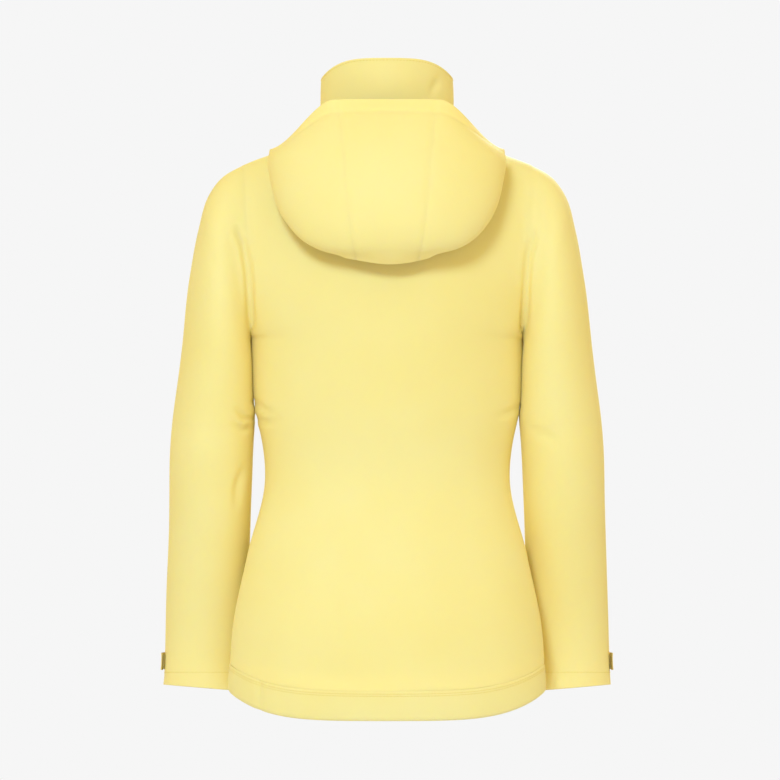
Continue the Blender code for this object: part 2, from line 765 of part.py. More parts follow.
def pass_pocket():
    """The lift pass pocket's zip on the front of the left forearm."""
    turn = math.radians(PASS_TURN)
    points = []
    for t in (PASS_LOW_T, PASS_HIGH_T):
        ring = lower_sleeve_ring(t)
        middle = (ring[0] + ring[SLEEVE_SIDES // 2]) / 2
        reach_x, depth = (ring[0] - middle).length, (ring[SLEEVE_SIDES // 4] - middle).y
        points.append(middle + Vector((reach_x * math.cos(turn), depth * math.sin(turn), 0)))
    low, high = points
    run = (high - low).normalized()
    out = Vector((math.cos(turn) / ELBOW_HALF, math.sin(turn) / ELBOW_HALF_DEPTH, 0))
    out = (out - run * out.dot(run)).normalized()
    lift = out * (PASS_LIFT + SHELL_THICK / 2)
    welt = box_outline(WELT_WIDTH * 0.35, 0, WELT_THICK)
    prism("pass_pocket_zip", welt, low + lift, high + lift, run.cross(out), out, TAPE, pivot=elbow_pivot(1))
    slider_and_puller("pass_pocket", high + lift - run * 0.003, run, out, WELT_THICK, 0.0060, 0.008)


# The hood lies on the back like a bag: rows from its brim down to its fold.


def hood_rows():
    """Half width, outer y, side y, centre height and side height, each height below the neck seam."""
    top = BACK_LENGTH
    return (
        (HOOD_HALF - 0.002, HOOD_BRIM_Y, 0.050, top + HOOD_BRIM_RISE, top - 0.032),
        (HOOD_HALF, mix(HOOD_BRIM_Y, HOOD_BACK_Y, 0.43), 0.062, top - 0.010, top - 0.047),
        (HOOD_HALF - 0.002, mix(HOOD_BRIM_Y, HOOD_BACK_Y, 0.76), 0.078, top - 0.050, top - 0.062),
        (HOOD_HALF - 0.010, HOOD_BACK_Y - 0.004, 0.095, top - 0.095, top - 0.097),
        (HOOD_HALF - 0.024, HOOD_BACK_Y, 0.110, top - 0.127, top - 0.123),
        (HOOD_HALF - 0.046, HOOD_BACK_Y - 0.006, 0.122, top - 0.150, top - 0.144),
        (HOOD_HALF - 0.088, HOOD_BACK_Y - 0.024, 0.129, top - 0.167, top - 0.161),
    )


def hood_surface(s, t):
    """s is -1 to 1 across the hood, t 0 at the brim and 1 at the fold."""
    rows = hood_rows()
    half, out_y, side_y, center_z, side_z = spline_values(rows, t)
    angle = s * math.pi / 2
    x = half * math.sin(angle)
    y = mix(side_y, out_y, math.cos(angle) ** 0.9)
    slope = mix(smooth((abs(x) - HOOD_FLAT) / (HOOD_HALF - HOOD_FLAT)), s * s, min(t * 4, 1))
    return Vector((x, y, mix(center_z, side_z, slope)))


def hood_point(s, t, inset=0.0):
    point = hood_surface(s, t)
    if inset == 0:
        return point
    step = 0.01
    along = hood_surface(min(s + step, 1), t) - hood_surface(max(s - step, -1), t)
    down = hood_surface(s, min(t + step, 1)) - hood_surface(s, max(t - step, 0))
    return point + along.cross(down).normalized() * -inset


def hood_seam(t):
    """Where the centre panel ends, as a share of the way across."""
    half = spline_values(hood_rows(), t)[0]
    return math.asin(min(mix(HOOD_PANEL_HALF, HOOD_PANEL_HALF * 0.62, t) / half, 0.98)) / (math.pi / 2)


def hood_patch(name, edges, t_ends, columns, rows, material, thickness, inset=0.0):
    """edges gives the two ends across, as a function of t."""
    grid = []
    for r in range(rows + 1):
        t = mix(*t_ends, r / rows)
        first, last = edges(t)
        grid.append([hood_point(mix(first, last, c / columns), t, inset) for c in range(columns + 1)])
    cloth(name, grid, material, thickness, pivot=HOOD_HINGE)


def hood_whole(t):
    return -HOOD_EDGE, HOOD_EDGE


def hood_center(t):
    return -hood_seam(t), hood_seam(t)


def hood_inside(t):
    return -HOOD_LINING_EDGE, HOOD_LINING_EDGE


def hood():
    gap = SEAM_GAP / HOOD_HALF
    brim_end = BRIM_WIDTH / 0.25
    below = brim_end + 0.008
    hood_patch("hood_brim", hood_whole, (0, brim_end), 22, 1, SHELL, SHELL_THICK * 1.8)
    hood_patch("hood_center_panel", hood_center, (below, 1), 8, 8, SHELL, SHELL_THICK)
    for tag, side in SIDES:

        def hood_side(t):
            return side * (hood_seam(t) + gap), side * HOOD_EDGE

        hood_patch("hood_side_panel_" + tag, hood_side, (below, 1), 7, 8, SHELL, SHELL_THICK)
    hood_patch("hood_lining", hood_inside, (brim_end, 0.96), 16, 6, LINING, LINING_THICK, LINING_GAP)
    cord = [hood_point(mix(-0.93, 0.93, k / 22), brim_end * 0.35, 0.0042) for k in range(23)]
    tube("hood_drawcord", cord, CORD_RADIUS, CORD)
    for tag, side in SIDES:
        at = hood_point(0.80 * side, 0.30, LINING_GAP + LOCK_RADIUS + 0.0070)
        cord_lock("hood_cord_lock_" + tag, at)
    back = []
    for r in range(7):
        v = mix(0.79, TOP_V - 0.014, r / 6)
        back.append([body_point(1, 0.5 * c / 7, v, -HOOD_LIE) for c in range(8)])
        back[-1][0].x = 0
    cloth("hood_back_panel", back, SHELL, LINING_THICK, mirror=True)


PARTS, HANGER = clear_and_prepare()
SHELL = finish_material("shell_cloth", LEMON, 0.6)
LINING = finish_material("lining_cloth", LEMON_LINING, 0.7)
TAPE = finish_material("zip_tape", LEMON, 0.8)
CORD = finish_material("elastic_cord", TRIM_GREY, 0.8)
TRIM = finish_material("trim_plastic", TRIM_WHITE, 0.4)
TRIM_CLOTH = finish_material("loop_cloth", LEMON_LINING, 0.9)
METAL = finish_material("zip_metal", STEEL, 0.35, 1.0)
back_panel()
hem_casing()
collar()
main_zip()
zip_top = zip_point(BACK_LENGTH + ZIP_HEAD - 0.004)
slider_and_puller("main_zip", zip_top, ZIP_RUN, ZIP_OUT, TEETH_OUT, 0.0095, 0.013)
linings()
powder_skirt()
hang_loop_and_label()
hem_locks()
for tag, side in SIDES:
    front_panel(tag, side)
    sleeve(tag, side)
    hand_pocket(tag, side)
    cuff(tag, side)
pass_pocket()
hood()
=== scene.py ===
# A women's hooded ski jacket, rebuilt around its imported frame. Lengths are in metres.
# The jacket faces -Y and hangs from its neck loop, which is the origin.
import math

import bmesh
import bpy
import numpy as np
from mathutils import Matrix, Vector, noise
from mathutils.bvhtree import BVHTree


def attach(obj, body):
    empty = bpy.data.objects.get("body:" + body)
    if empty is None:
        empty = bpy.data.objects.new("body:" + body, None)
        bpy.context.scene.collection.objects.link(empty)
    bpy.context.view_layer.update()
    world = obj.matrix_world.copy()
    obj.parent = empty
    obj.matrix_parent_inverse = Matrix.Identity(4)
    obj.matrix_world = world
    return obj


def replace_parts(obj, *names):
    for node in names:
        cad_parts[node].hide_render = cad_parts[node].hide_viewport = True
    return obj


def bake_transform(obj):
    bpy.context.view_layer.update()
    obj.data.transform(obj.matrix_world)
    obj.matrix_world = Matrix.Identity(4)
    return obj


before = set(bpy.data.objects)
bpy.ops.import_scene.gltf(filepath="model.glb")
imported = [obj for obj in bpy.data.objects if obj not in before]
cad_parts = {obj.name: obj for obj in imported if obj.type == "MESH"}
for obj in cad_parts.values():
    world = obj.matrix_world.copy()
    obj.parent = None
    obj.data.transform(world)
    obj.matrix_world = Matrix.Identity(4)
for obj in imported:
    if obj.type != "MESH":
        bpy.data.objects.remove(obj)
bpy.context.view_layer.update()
sides = (("L", 1), ("R", -1))

# Heights in the shapes below count from the lowest point of the hem, as a cutter would measure them.
bodyCut = {
    "backLength": 0.700, "shoulderDrop": 0.048, "neckDrop": 0.012, "armholeDepth": 0.205,
    "armholeHalfDepth": 0.056, "underarmToWaist": 0.172, "waistToHip": 0.085, "hemRise": 0.030,
    "hemHalf": 0.187, "seatHalf": 0.181, "hipHalf": 0.1655, "waistHalf": 0.1456, "ribHalf": 0.1535,
    "chestHalf": 0.158, "shoulderHalf": 0.170, "hemBackY": 0.125, "waistBackY": 0.095,
    "bladeBackY": 0.118, "hemSideY": 0.025, "zipFootY": -0.135, "zipLean": 0.0676, "zipHalf": 0.007,
    "neckHalf": 0.078, "neckBackY": 0.062, "neckSideY": -0.006, "frontNeckDrop": 0.080,
    "hemV": 0.034, "hemChannel": 0.0065, "liningGap": 0.007, "shellThick": 0.0012,
}
cut = bodyCut
shoulderZ = cut["backLength"] - cut["shoulderDrop"]
neckSideZ = cut["backLength"] - cut["neckDrop"]
neckFrontZ = cut["backLength"] - cut["frontNeckDrop"]
underarmZ = shoulderZ - cut["armholeDepth"]
waistZ = underarmZ - cut["underarmToWaist"]
hipZ = waistZ - cut["waistToHip"]
toWorld = Vector((0, -0.048, -cut["backLength"]))


def mix(a, b, t):
    return a + (b - a) * t


def smooth(t):
    t = min(max(t, 0.0), 1.0)
    return t * t * (3 - 2 * t)


def curveAt(rows, t):
    # a point at t, 0 to 1, on a smooth curve through evenly spaced rows of values
    spans = len(rows) - 1
    k = min(int(t * spans), spans - 1)
    f = t * spans - k
    b, c = np.array(rows[k], float), np.array(rows[k + 1], float)
    a = np.array(rows[k - 1], float) if k else b * 2 - c
    d = np.array(rows[k + 2], float) if k + 2 <= spans else c * 2 - b
    return b + (c - a) * (0.5 * f) + (a - b * 2.5 + c * 2 - d * 0.5) * f**2 + (
        b * 1.5 - a * 0.5 - c * 1.5 + d * 0.5
    ) * f**3


def zipY(z):
    return cut["zipFootY"] + cut["zipLean"] * z  # the centre front is one straight line


ribZ = mix(waistZ, underarmZ, 0.5)
lowerRows = [
    (cut["hemHalf"], cut["hemBackY"], 0.0),
    (cut["seatHalf"], cut["hemBackY"], hipZ * 0.52),
    (cut["hipHalf"], mix(cut["hemBackY"], cut["waistBackY"], 0.55), hipZ),
    (cut["waistHalf"], cut["waistBackY"], waistZ),
    (cut["ribHalf"], mix(cut["waistBackY"], cut["bladeBackY"], 0.45), ribZ),
    (cut["chestHalf"], mix(cut["waistBackY"], cut["bladeBackY"], 0.85), underarmZ),
]


def lowerSection(face, t):
    half, back, z = curveAt(lowerRows, t)
    sideZ = z + cut["hemRise"] * (1 - smooth(t * 2.5))
    sideY = cut["hemSideY"] * (1 - smooth(t * 1.3))
    return half, back if face > 0 else zipY(z), sideY, z, sideZ


def armholePoint(t):
    # t is 0 at the shoulder and 0.5 at the underarm, going round the back
    angle = 2 * math.pi * t
    z = mix(underarmZ, shoulderZ, 0.5) + cut["armholeDepth"] / 2 * math.cos(angle)
    x = mix(cut["chestHalf"], cut["shoulderHalf"], smooth((z - underarmZ) / cut["armholeDepth"]))
    return Vector((x, cut["armholeHalfDepth"] * math.sin(angle), z))


def topLine(face, u):
    # the neck seam for the first half of u, the shoulder seam for the rest
    if u <= 0.5:
        angle = math.pi * u
        start = cut["zipHalf"] if face < 0 else 0.0
        x = start + (cut["neckHalf"] - start) * math.sin(angle)
        center = cut["neckBackY"] if face > 0 else zipY(neckFrontZ)
        low = cut["backLength"] if face > 0 else neckFrontZ
        return Vector(
            (x, mix(cut["neckSideY"], center, math.cos(angle)), mix(low, neckSideZ, math.sin(angle) ** 2))
        )
    t = (u - 0.5) * 2
    return Vector(
        (
            mix(cut["neckHalf"], cut["shoulderHalf"], t), cut["neckSideY"] * (1 - t),
            mix(neckSideZ, shoulderZ, t)
        )
    )


def arcPoint(face, u, center, side, opening, sweep=0.0):
    # sweep turns the height's run from an even curve into a flat middle with upturned ends
    turn = u * opening
    start = cut["zipHalf"] if face < 0 else 0.0
    x = mix(start, side.x, math.sin(turn) / math.sin(opening))
    y = mix(center.y, side.y, (1 - math.cos(turn)) / (1 - math.cos(opening)))
    climb = mix(smooth(u), math.sin(turn) ** 4.5, sweep) if u else 0.0
    return Vector((x, y, mix(center.z, side.z, climb)))


bladeRows = [
    (lowerSection(1, 1)[1], underarmZ),
    (cut["bladeBackY"], mix(underarmZ, cut["backLength"], 0.40)),
    (mix(cut["bladeBackY"], cut["neckBackY"], 0.42), mix(underarmZ, cut["backLength"], 0.78)),
    (cut["neckBackY"], cut["backLength"]),
]


def outerPoint(face, u, v):
    # v is 0 at the hem, 0.5 at the underarm and 1 along the neck and shoulder
    if v <= 0.5:
        half, centerY, sideY, z, sideZ = lowerSection(face, v * 2)
        low = 1 - smooth(v / 0.16)
        return arcPoint(face, u, Vector((0, centerY, z)), Vector((half, sideY, sideZ)), math.pi / 2, low)
    q = (v - 0.5) * 2
    side = armholePoint(0.5 * (1 - q) if face > 0 else 0.5 * (1 + q))
    if face > 0:
        y, z = curveAt(bladeRows, q)
    else:
        z = mix(underarmZ, neckFrontZ, q)
        y = zipY(z)
    opening = math.pi / 2 * mix(1, 0.6, smooth(q * 2))
    return arcPoint(face, u, Vector((0, y, z)), side, opening).lerp(topLine(face, u), q**4)


def bodyPoint(face, u, v, inset=0.0):
    # a point of the outer surface, or one that lies inset inside it
    point = outerPoint(face, u, v)
    if inset == 0:
        return point
    step = 0.01
    along = outerPoint(face, min(u + step, 1), v) - outerPoint(face, max(u - step, 0), v)
    up = outerPoint(face, u, min(v + step, 1)) - outerPoint(face, u, max(v - step, 0))
    return point + along.cross(up).normalized() * (face * inset)


def flipped(point, side):
    return Vector((point[0] * side, point[1], point[2]))


# The welded shell: every outer cloth is first one continuous skin, so that folds run across seams.
shellGrid = {"across": 44, "belowArm": 92, "besideArm": 48, "sleeveRows": 150, "thick": 0.0012}
sleeveCut = {
    # outer x, outer z, inner x, inner z, centre y and half depth of rings down the sleeve
    "rings": [
        (0.1700, 0.6520, 0.1580, 0.4470, 0.000, 0.0560, 0.000),
        (0.1930, 0.6420, 0.1605, 0.4450, 0.000, 0.0590, 0.000),
        (0.2115, 0.6180, 0.1608, 0.4400, 0.000, 0.0650, 0.000),
        (0.2235, 0.5760, 0.1600, 0.4300, 0.000, 0.0690, 0.000),
        (0.2330, 0.5200, 0.1588, 0.4120, 0.000, 0.0700, 0.010),
        (0.2425, 0.4400, 0.1578, 0.3850, -0.004, 0.0680, 0.060),
        (0.2540, 0.3500, 0.1563, 0.3470, -0.008, 0.0625, 0.090),
    ],
    "elbow": (0.2065, -0.008, 0.0490, 0.062), "cuff": (0.2195, -0.072, 0.0480, 0.050),
    "elbowZ": 0.335, "cuffZ": 0.0290, "forearm": 0.298, "upperRows": 84,
}


class Skin:
    # vertices, quads and a label for each quad, welded where points coincide
    def __init__(self):
        self.points, self.faces, self.labels, self.index, self.notes = [], [], [], {}, []

    def vertex(self, point, note):
        key = tuple(round(c * 1e5) for c in point)
        if key not in self.index:
            self.index[key] = len(self.points)
            self.points.append(tuple(point))
            self.notes.append(note)
        return self.index[key]

    def grid(self, label, rows, notes, turn=False, ring=False):
        ids = [[self.vertex(p, n) for p, n in zip(row, marks)] for row, marks in zip(rows, notes)]
        for low, high in zip(ids, ids[1:]):
            count = len(low) if ring else len(low) - 1
            for i in range(count):
                j = (i + 1) % len(low)
                quad = (low[i], low[j], high[j], high[i])
                if len(set(quad)) < 3:
                    continue
                self.faces.append(quad[::-1] if turn else quad)
                self.labels.append(label)


def bodyNotes(face, side):
    grid = shellGrid
    total = grid["belowArm"] + grid["besideArm"]
    rows, notes = [], []
    for r in range(total + 1):
        if r <= grid["belowArm"]:
            v = mix(cut["hemV"], 0.5, r / grid["belowArm"])
        else:
            v = mix(0.5, 1.0, (r - grid["belowArm"]) / grid["besideArm"])
        row, marks = [], []
        for c in range(grid["across"] + 1):
            u = c / grid["across"]
            point = bodyPoint(face, u, v)
            if face > 0 and c == 0:
                point.x = 0
            row.append(flipped(point, side))
            marks.append((face, u * side, v))
        rows.append(row)
        notes.append(marks)
    return rows, notes


def sleeveRings():
    # from the armhole down to the cuff; the first ring is the body's own edge
    shape, count = sleeveCut, shellGrid["besideArm"]
    first = [bodyPoint(1, 1, mix(1.0, 0.5, k / count)) for k in range(count + 1)]
    first += [bodyPoint(-1, 1, mix(0.5, 1.0, k / count)) for k in range(1, count)]
    keys = [np.array(r) for r in shape["rings"]]
    ex, ey, eh, ed = shape["elbow"]
    cx, cy, ch, cd = shape["cuff"]
    for t in (0.02, 0.25, 0.5, 0.75, 1.0):
        ahead = t * (shape["elbowZ"] - shape["cuffZ"]) / shape["forearm"]
        y = mix(ey, cy, mix(ahead, smooth(ahead), 0.6))
        half, z = mix(eh, ch, t), mix(shape["elbowZ"], shape["cuffZ"], t)
        x = mix(ex, cx, t)
        tilt = 0.004 * smooth(t)
        keys.append(
            np.array(
                (
                    x + half, z + tilt, x - half, z - tilt, y, mix(ed, cd, t),
                    mix(0.06, -0.05, smooth(t * 1.5))
                )
            )
        )
    # spread rings by their real spacing
    middles = np.array([((k[0] + k[2]) / 2, k[4], (k[1] + k[3]) / 2) for k in keys])
    length = np.concatenate([[0], np.cumsum(np.linalg.norm(np.diff(middles, axis=0), axis=1))])
    return first, keys, length


def tangentCurve(length, keys, at):
    # Hermite curve through unevenly spaced keys
    keys = np.array(keys)
    slope = np.gradient(keys, length, axis=0)
    k = np.clip(np.searchsorted(length, at) - 1, 0, len(length) - 2)
    span = length[k + 1] - length[k]
    f = ((at - length[k]) / span)[:, None]
    h = span[:, None]
    a, b, c, d = 2 * f**3 - 3 * f**2 + 1, f**3 - 2 * f**2 + f, 3 * f**2 - 2 * f**3, f**3 - f**2
    return a * keys[k] + b * h * slope[k] + c * keys[k + 1] + d * h * slope[k + 1]


def sleeveTube(side, start, end, rows, columns, inset=0.0, insetEnd=None):
    # rings between two shares of the sleeve's length, inside its surface by the inset
    keys, length = sleeveRings()[1:]
    at = np.linspace(start, end, rows + 1) * length[-1]
    rings = []
    for r, (ox, oz, ix, iz, cy, depth, slope) in enumerate(tangentCurve(length, keys, at)):
        gap = inset if insetEnd is None else mix(inset, insetEnd, r / rows)
        outer, inner = Vector((ox, 0, oz)), Vector((ix, 0, iz))
        middle, reach = (outer + inner) / 2, (outer - inner) / 2
        reach *= 1 - gap / reach.length
        ring = []
        for k in range(columns):
            angle = 2 * math.pi * k / columns
            deep = math.sin(angle) * (depth - gap)
            point = middle + reach * math.cos(angle) + Vector((0, cy + deep, -slope * deep))
            ring.append(flipped(point, side))
        rings.append(ring)
    return rings


def sleeveGrid(side):
    first, keys, length = sleeveRings()
    shape = sleeveCut
    upper = np.linspace(0, length[6], shape["upperRows"] + 1)
    lower = np.linspace(length[6], length[-1], shellGrid["sleeveRows"] - shape["upperRows"] + 1)[1:]
    at = np.concatenate([upper, lower])
    values = tangentCurve(length, keys, at)
    count = 2 * shellGrid["besideArm"]
    rows, notes = [], []
    for r, (ox, oz, ix, iz, cy, depth, slope) in enumerate(values):
        outer, inner = Vector((ox, 0, oz)), Vector((ix, 0, iz))
        middle, reach = (outer + inner) / 2, (outer - inner) / 2
        row, marks = [], []
        for k in range(count):
            angle = 2 * math.pi * k / count
            # a plain ellipse round the ring's middle, its depth along y
            across, deep = math.cos(angle), math.sin(angle)
            point = middle + reach * across + Vector((0, cy + deep * depth, -slope * deep * depth))
            if r == 0:
                point = first[k]
            row.append(flipped(point, side))
            marks.append((2, k / count, at[r] / length[-1]))
        rows.append(row)
        notes.append(marks)
    return rows, notes


print("shell: laying out the welded skin")
skin = Skin()
for tag, side in sides:
    rows, notes = bodyNotes(1, side)
    skin.grid("backPanel", rows, notes, turn=side > 0)
    rows, notes = bodyNotes(-1, side)
    skin.grid("frontPanel" + tag, rows, notes, turn=side < 0)
    rows, notes = sleeveGrid(side)
    upper = sleeveCut["upperRows"]
    skin.grid("upperSleeve" + tag, rows[: upper + 1], notes[: upper + 1], turn=side > 0, ring=True)
    skin.grid("lowerSleeve" + tag, rows[upper:], notes[upper:], turn=side > 0, ring=True)

at = np.array(skin.points)
quads = np.array([f if len(f) == 4 else (*f, f[-1]) for f in skin.faces])
labels = np.array(skin.labels)
notes = np.array(skin.notes)


def edgesOf(quads):
    pairs = np.concatenate([quads[:, [0, 1]], quads[:, [1, 2]], quads[:, [2, 3]], quads[:, [3, 0]]])
    pairs = np.sort(pairs, axis=1)
    pairs, counts = np.unique(pairs[pairs[:, 0] != pairs[:, 1]], axis=0, return_counts=True)
    return pairs, counts


def skinNormals(points, quads):
    a, b = points[quads[:, 2]] - points[quads[:, 0]], points[quads[:, 3]] - points[quads[:, 1]]
    facing = np.cross(a, b)
    out = np.zeros_like(points)
    for k in range(4):
        np.add.at(out, quads[:, k], facing)
    return out / np.maximum(np.linalg.norm(out, axis=1), 1e-12)[:, None]


def smoothSkin(points, edges, weight, rounds):
    # each point moves towards the average of its neighbours, by its own weight
    count = np.zeros(len(points))
    np.add.at(count, edges[:, 0], 1)
    np.add.at(count, edges[:, 1], 1)
    for _ in range(rounds):
        total = np.zeros_like(points)
        np.add.at(total, edges[:, 0], points[edges[:, 1]])
        np.add.at(total, edges[:, 1], points[edges[:, 0]])
        points = points + (total / count[:, None] - points) * weight[:, None]
    return points


edges, counts = edgesOf(quads)
rim = np.zeros(len(at), bool)
rim[edges[counts == 1].ravel()] = True


# Folds and creases: paths of (x, z) on the back (1) or the front (-1), half width and depth in metres.
foldPaths = [
    (1, ((0.176, 0.572), (0.168, 0.555), (0.1625, 0.520), (0.161, 0.480), (0.160, 0.462)), 0.0040, 0.0062),
    (
        1, ((-0.174, 0.566), (-0.166, 0.545), (-0.1635, 0.500), (-0.162, 0.470), (-0.161, 0.455)), 0.0040,
        0.0062
    ),
    (-1, ((0.176, 0.560), (0.166, 0.535), (0.1615, 0.490), (0.160, 0.465)), 0.0042, 0.0058),
    (-1, ((-0.176, 0.560), (-0.166, 0.535), (-0.1615, 0.490), (-0.160, 0.465)), 0.0042, 0.0058),
    (1, ((0.158, 0.372), (0.146, 0.362), (0.132, 0.357)), 0.0035, 0.0030),
    (1, ((0.156, 0.352), (0.143, 0.347), (0.126, 0.349)), 0.0035, 0.0030),
    (1, ((-0.156, 0.366), (-0.142, 0.358), (-0.128, 0.355)), 0.0035, 0.0028),
    (1, ((0.176, 0.362), (0.168, 0.352), (0.160, 0.350)), 0.0032, 0.0034),
    (1, ((0.180, 0.345), (0.170, 0.338), (0.160, 0.342)), 0.0032, 0.0030),
    (1, ((0.170, 0.292), (0.176, 0.272), (0.178, 0.250)), 0.0045, 0.0034),
    (1, ((-0.168, 0.340), (-0.186, 0.334), (-0.204, 0.326)), 0.0026, 0.0022),
    (1, ((-0.168, 0.334), (-0.186, 0.328), (-0.204, 0.318)), 0.0026, 0.0018),
    (1, ((0.150, 0.036), (0.147, 0.028)), 0.0030, 0.0012),
]


def softNoise(points, scale, seed):
    out = np.empty(len(points))
    for i, p in enumerate(points):
        out[i] = noise.noise((p[0] * scale[0] + seed, p[1] * scale[1], p[2] * scale[2] + seed * 0.7))
    return out


def foldDepth(points, facing):
    # how far each point sinks: a valley along the path with a low ridge on either side
    depth = np.zeros(len(points))
    flat = points[:, [0, 2]]
    for side, path, width, deep in foldPaths:
        near, share = np.full(len(flat), 9.0), np.zeros(len(flat))
        steps = len(path) - 1
        for k in range(steps):
            a, b = np.array(path[k]), np.array(path[k + 1])
            t = np.clip(((flat - a) @ (b - a)) / ((b - a) @ (b - a)), 0, 1)
            apart = np.linalg.norm(flat - a - t[:, None] * (b - a), axis=1)
            closer = apart < near
            near[closer], share[closer] = apart[closer], (k + t[closer]) / steps
        s = near / width
        fade = np.sin(np.pi * np.clip(share * 0.86 + 0.07, 0, 1)) ** 0.7
        valley = deep * (1 - 0.45 * s**2) * np.exp(-0.5 * s**2) * fade
        depth += np.where(facing * side > -0.1, valley, 0)
    return depth


kind, shareU, shareV = notes[:, 0], notes[:, 1], notes[:, 2]
onSleeve = kind == 2
nearArm = np.where(
    onSleeve, np.clip(1 - shareV / 0.13, 0, 1), np.clip((np.abs(shareU) - 0.72) / 0.28, 0, 1)
)
nearArm *= onSleeve | (shareV > 0.47)
high = np.clip((at[:, 2] - 0.50) / 0.09, 0, 1)
weight = 0.7 * nearArm * mix(0.12, 1.0, high * high * (3 - 2 * high))
seam = (~onSleeve) & (shareV > 0.9) & (np.abs(shareU) > 0.45)
weight = np.maximum(weight, np.where(seam, 0.5 * np.clip((shareV - 0.9) / 0.06, 0, 1), 0))
weight = np.maximum(weight, 0.05)
weight[rim] = 0
at = smoothSkin(at, edges, weight, 22)
# the side of the body fills out to lie against the sleeve under the arm
beside = np.exp(
    -(((at[:, 2] - 0.405) / 0.062) ** 4)
) * np.clip((np.abs(shareU) - 0.55) / 0.4, 0, 1) * ~onSleeve
at[:, 0] += np.sign(at[:, 0]) * 0.0044 * beside
normals = skinNormals(at, quads)
drape = 0.0016 * softNoise(at, (9, 9, 2.6), 3.1) + 0.0009 * softNoise(at, (22, 22, 7), 8.4)
sleeveDrape = 0.0012 * softNoise(at, (14, 14, 9), 5.7)
push = -foldDepth(at, normals[:, 1]) + np.where(onSleeve, sleeveDrape, drape)
calm = np.ones(len(at))
calm[rim] = 0.0
calm = smoothSkin(calm[:, None], edges, np.where(rim, 0.0, 0.5), 4)[:, 0]
at = at + normals * (push * calm)[:, None]
normals = skinNormals(at, quads)


def finishMesh(name, points, faces, pointNormals=None, uv=None):
    mesh = bpy.data.meshes.new(name)
    mesh.from_pydata([tuple(p) for p in points], [], [tuple(f) for f in faces])
    if uv is not None:
        layer = mesh.uv_layers.new(name="cloth")
        corner = np.empty(len(mesh.loops), int)
        mesh.loops.foreach_get("vertex_index", corner)
        layer.data.foreach_set("uv", uv[corner].astype(np.float32).ravel())
    mesh.shade_smooth()
    if pointNormals is not None:
        mesh.normals_split_custom_set_from_vertices([tuple(n) for n in pointNormals])
    mesh.update()
    return mesh


def addPiece(name, mesh, material, body=None):
    obj = bpy.data.objects.new(name, mesh)
    bpy.context.scene.collection.objects.link(obj)
    mesh.materials.append(material)
    if body:
        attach(obj, body)
    return obj


def bendAlong(obj, shares):
    # each point is laid out along x by how far along the sleeve it lies while the object's transform is baked
    # into the mesh, then the points are put back as built
    mesh = obj.data
    keep = np.empty(len(mesh.vertices) * 3, np.float32)
    mesh.vertices.foreach_get("co", keep)
    straight = np.zeros((len(mesh.vertices), 3), np.float32)
    straight[:, 0] = shares
    mesh.vertices.foreach_set("co", straight.ravel())
    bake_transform(obj)
    mesh.vertices.foreach_set("co", keep)
    mesh.update()


def closedCloth(points, quads, normals, thick):
    # an outer and an inner face a cloth's thickness apart, joined round the rim
    count = len(points)
    inner = points - normals * thick
    faces = [tuple(dict.fromkeys(q)) for q in quads.tolist()]
    pairs, counts = edgesOf(quads)
    lone = {tuple(e) for e in pairs[counts == 1].tolist()}
    walls = []
    for q in faces:
        for a, b in zip(q, q[1:] + q[:1]):
            if (min(a, b), max(a, b)) in lone:
                walls.append((b, a, a + count, b + count))
    allFaces = faces + [tuple(i + count for i in q[::-1]) for q in faces] + walls
    return np.concatenate([points, inner]), allFaces, np.concatenate([normals, -normals])


def clothFrom(name, material, points, quads, thick, body=None, uv=None, normals=None):
    if normals is None:
        normals = skinNormals(points, quads)
    solid, faces, both = closedCloth(points, quads, normals, thick)
    doubled = None if uv is None else np.concatenate([uv, uv])
    return addPiece(name, finishMesh(name, solid, faces, both, doubled), material, body)


def gridQuads(rows, columns, ring=False):
    quads = []
    last = columns if ring else columns - 1
    for r in range(rows - 1):
        for c in range(last):
            d = (c + 1) % columns
            quads.append((r * columns + c, r * columns + d, (r + 1) * columns + d, (r + 1) * columns + c))
    return np.array(quads)


def clothGrid(name, material, rows, thick, body, ring=False, turn=False):
    # rows of local points become a closed cloth in place, with its lengths in metres as its UVs
    points = np.array([[tuple(p) for p in row] for row in rows])
    count, columns = points.shape[:2]
    run = np.concatenate(
        [np.zeros((count, 1)), np.cumsum(np.linalg.norm(np.diff(points, axis=1), axis=2), axis=1)], axis=1
    )
    rise = np.concatenate(
        [np.zeros((1, columns)), np.cumsum(np.linalg.norm(np.diff(points, axis=0), axis=2), axis=0)]
    )
    uv = np.stack([run - run[:, columns // 2 : columns // 2 + 1], rise], axis=2).reshape(-1, 2)
    quads = gridQuads(count, columns, ring)
    if turn:
        quads = quads[:, ::-1]
    flat = points.reshape(-1, 3) + np.array(toWorld)
    return clothFrom(name, material, flat, quads, thick, body, uv)


def skinPiece(name, label, material, body=None):
    # one panel of the skin, and how far along its sleeve each of its points lies
    chosen = quads[labels == label]
    used, inverse = np.unique(chosen, return_inverse=True)
    part = inverse.reshape(chosen.shape)
    piece = clothFrom(
        name, material, at[used] + np.array(toWorld), part, shellGrid["thick"], body, clothUv[used],
        normals[used]
    )
    along = np.where(onSleeve[used], shareV[used], 0.0)
    return piece, np.concatenate([along, along])


def linear(hexColor):
    # one sRGB hex value to the linear colour that shaders use
    channels = [int(hexColor[i : i + 2], 16) / 255 for i in (1, 3, 5)]
    return (*[c / 12.92 if c <= 0.04045 else ((c + 0.055) / 1.055) ** 2.4 for c in channels], 1)


def newMaterial(name):
    material = bpy.data.materials.new(name)
    material.use_nodes = True
    return material, material.node_tree, material.node_tree.nodes["Principled BSDF"]


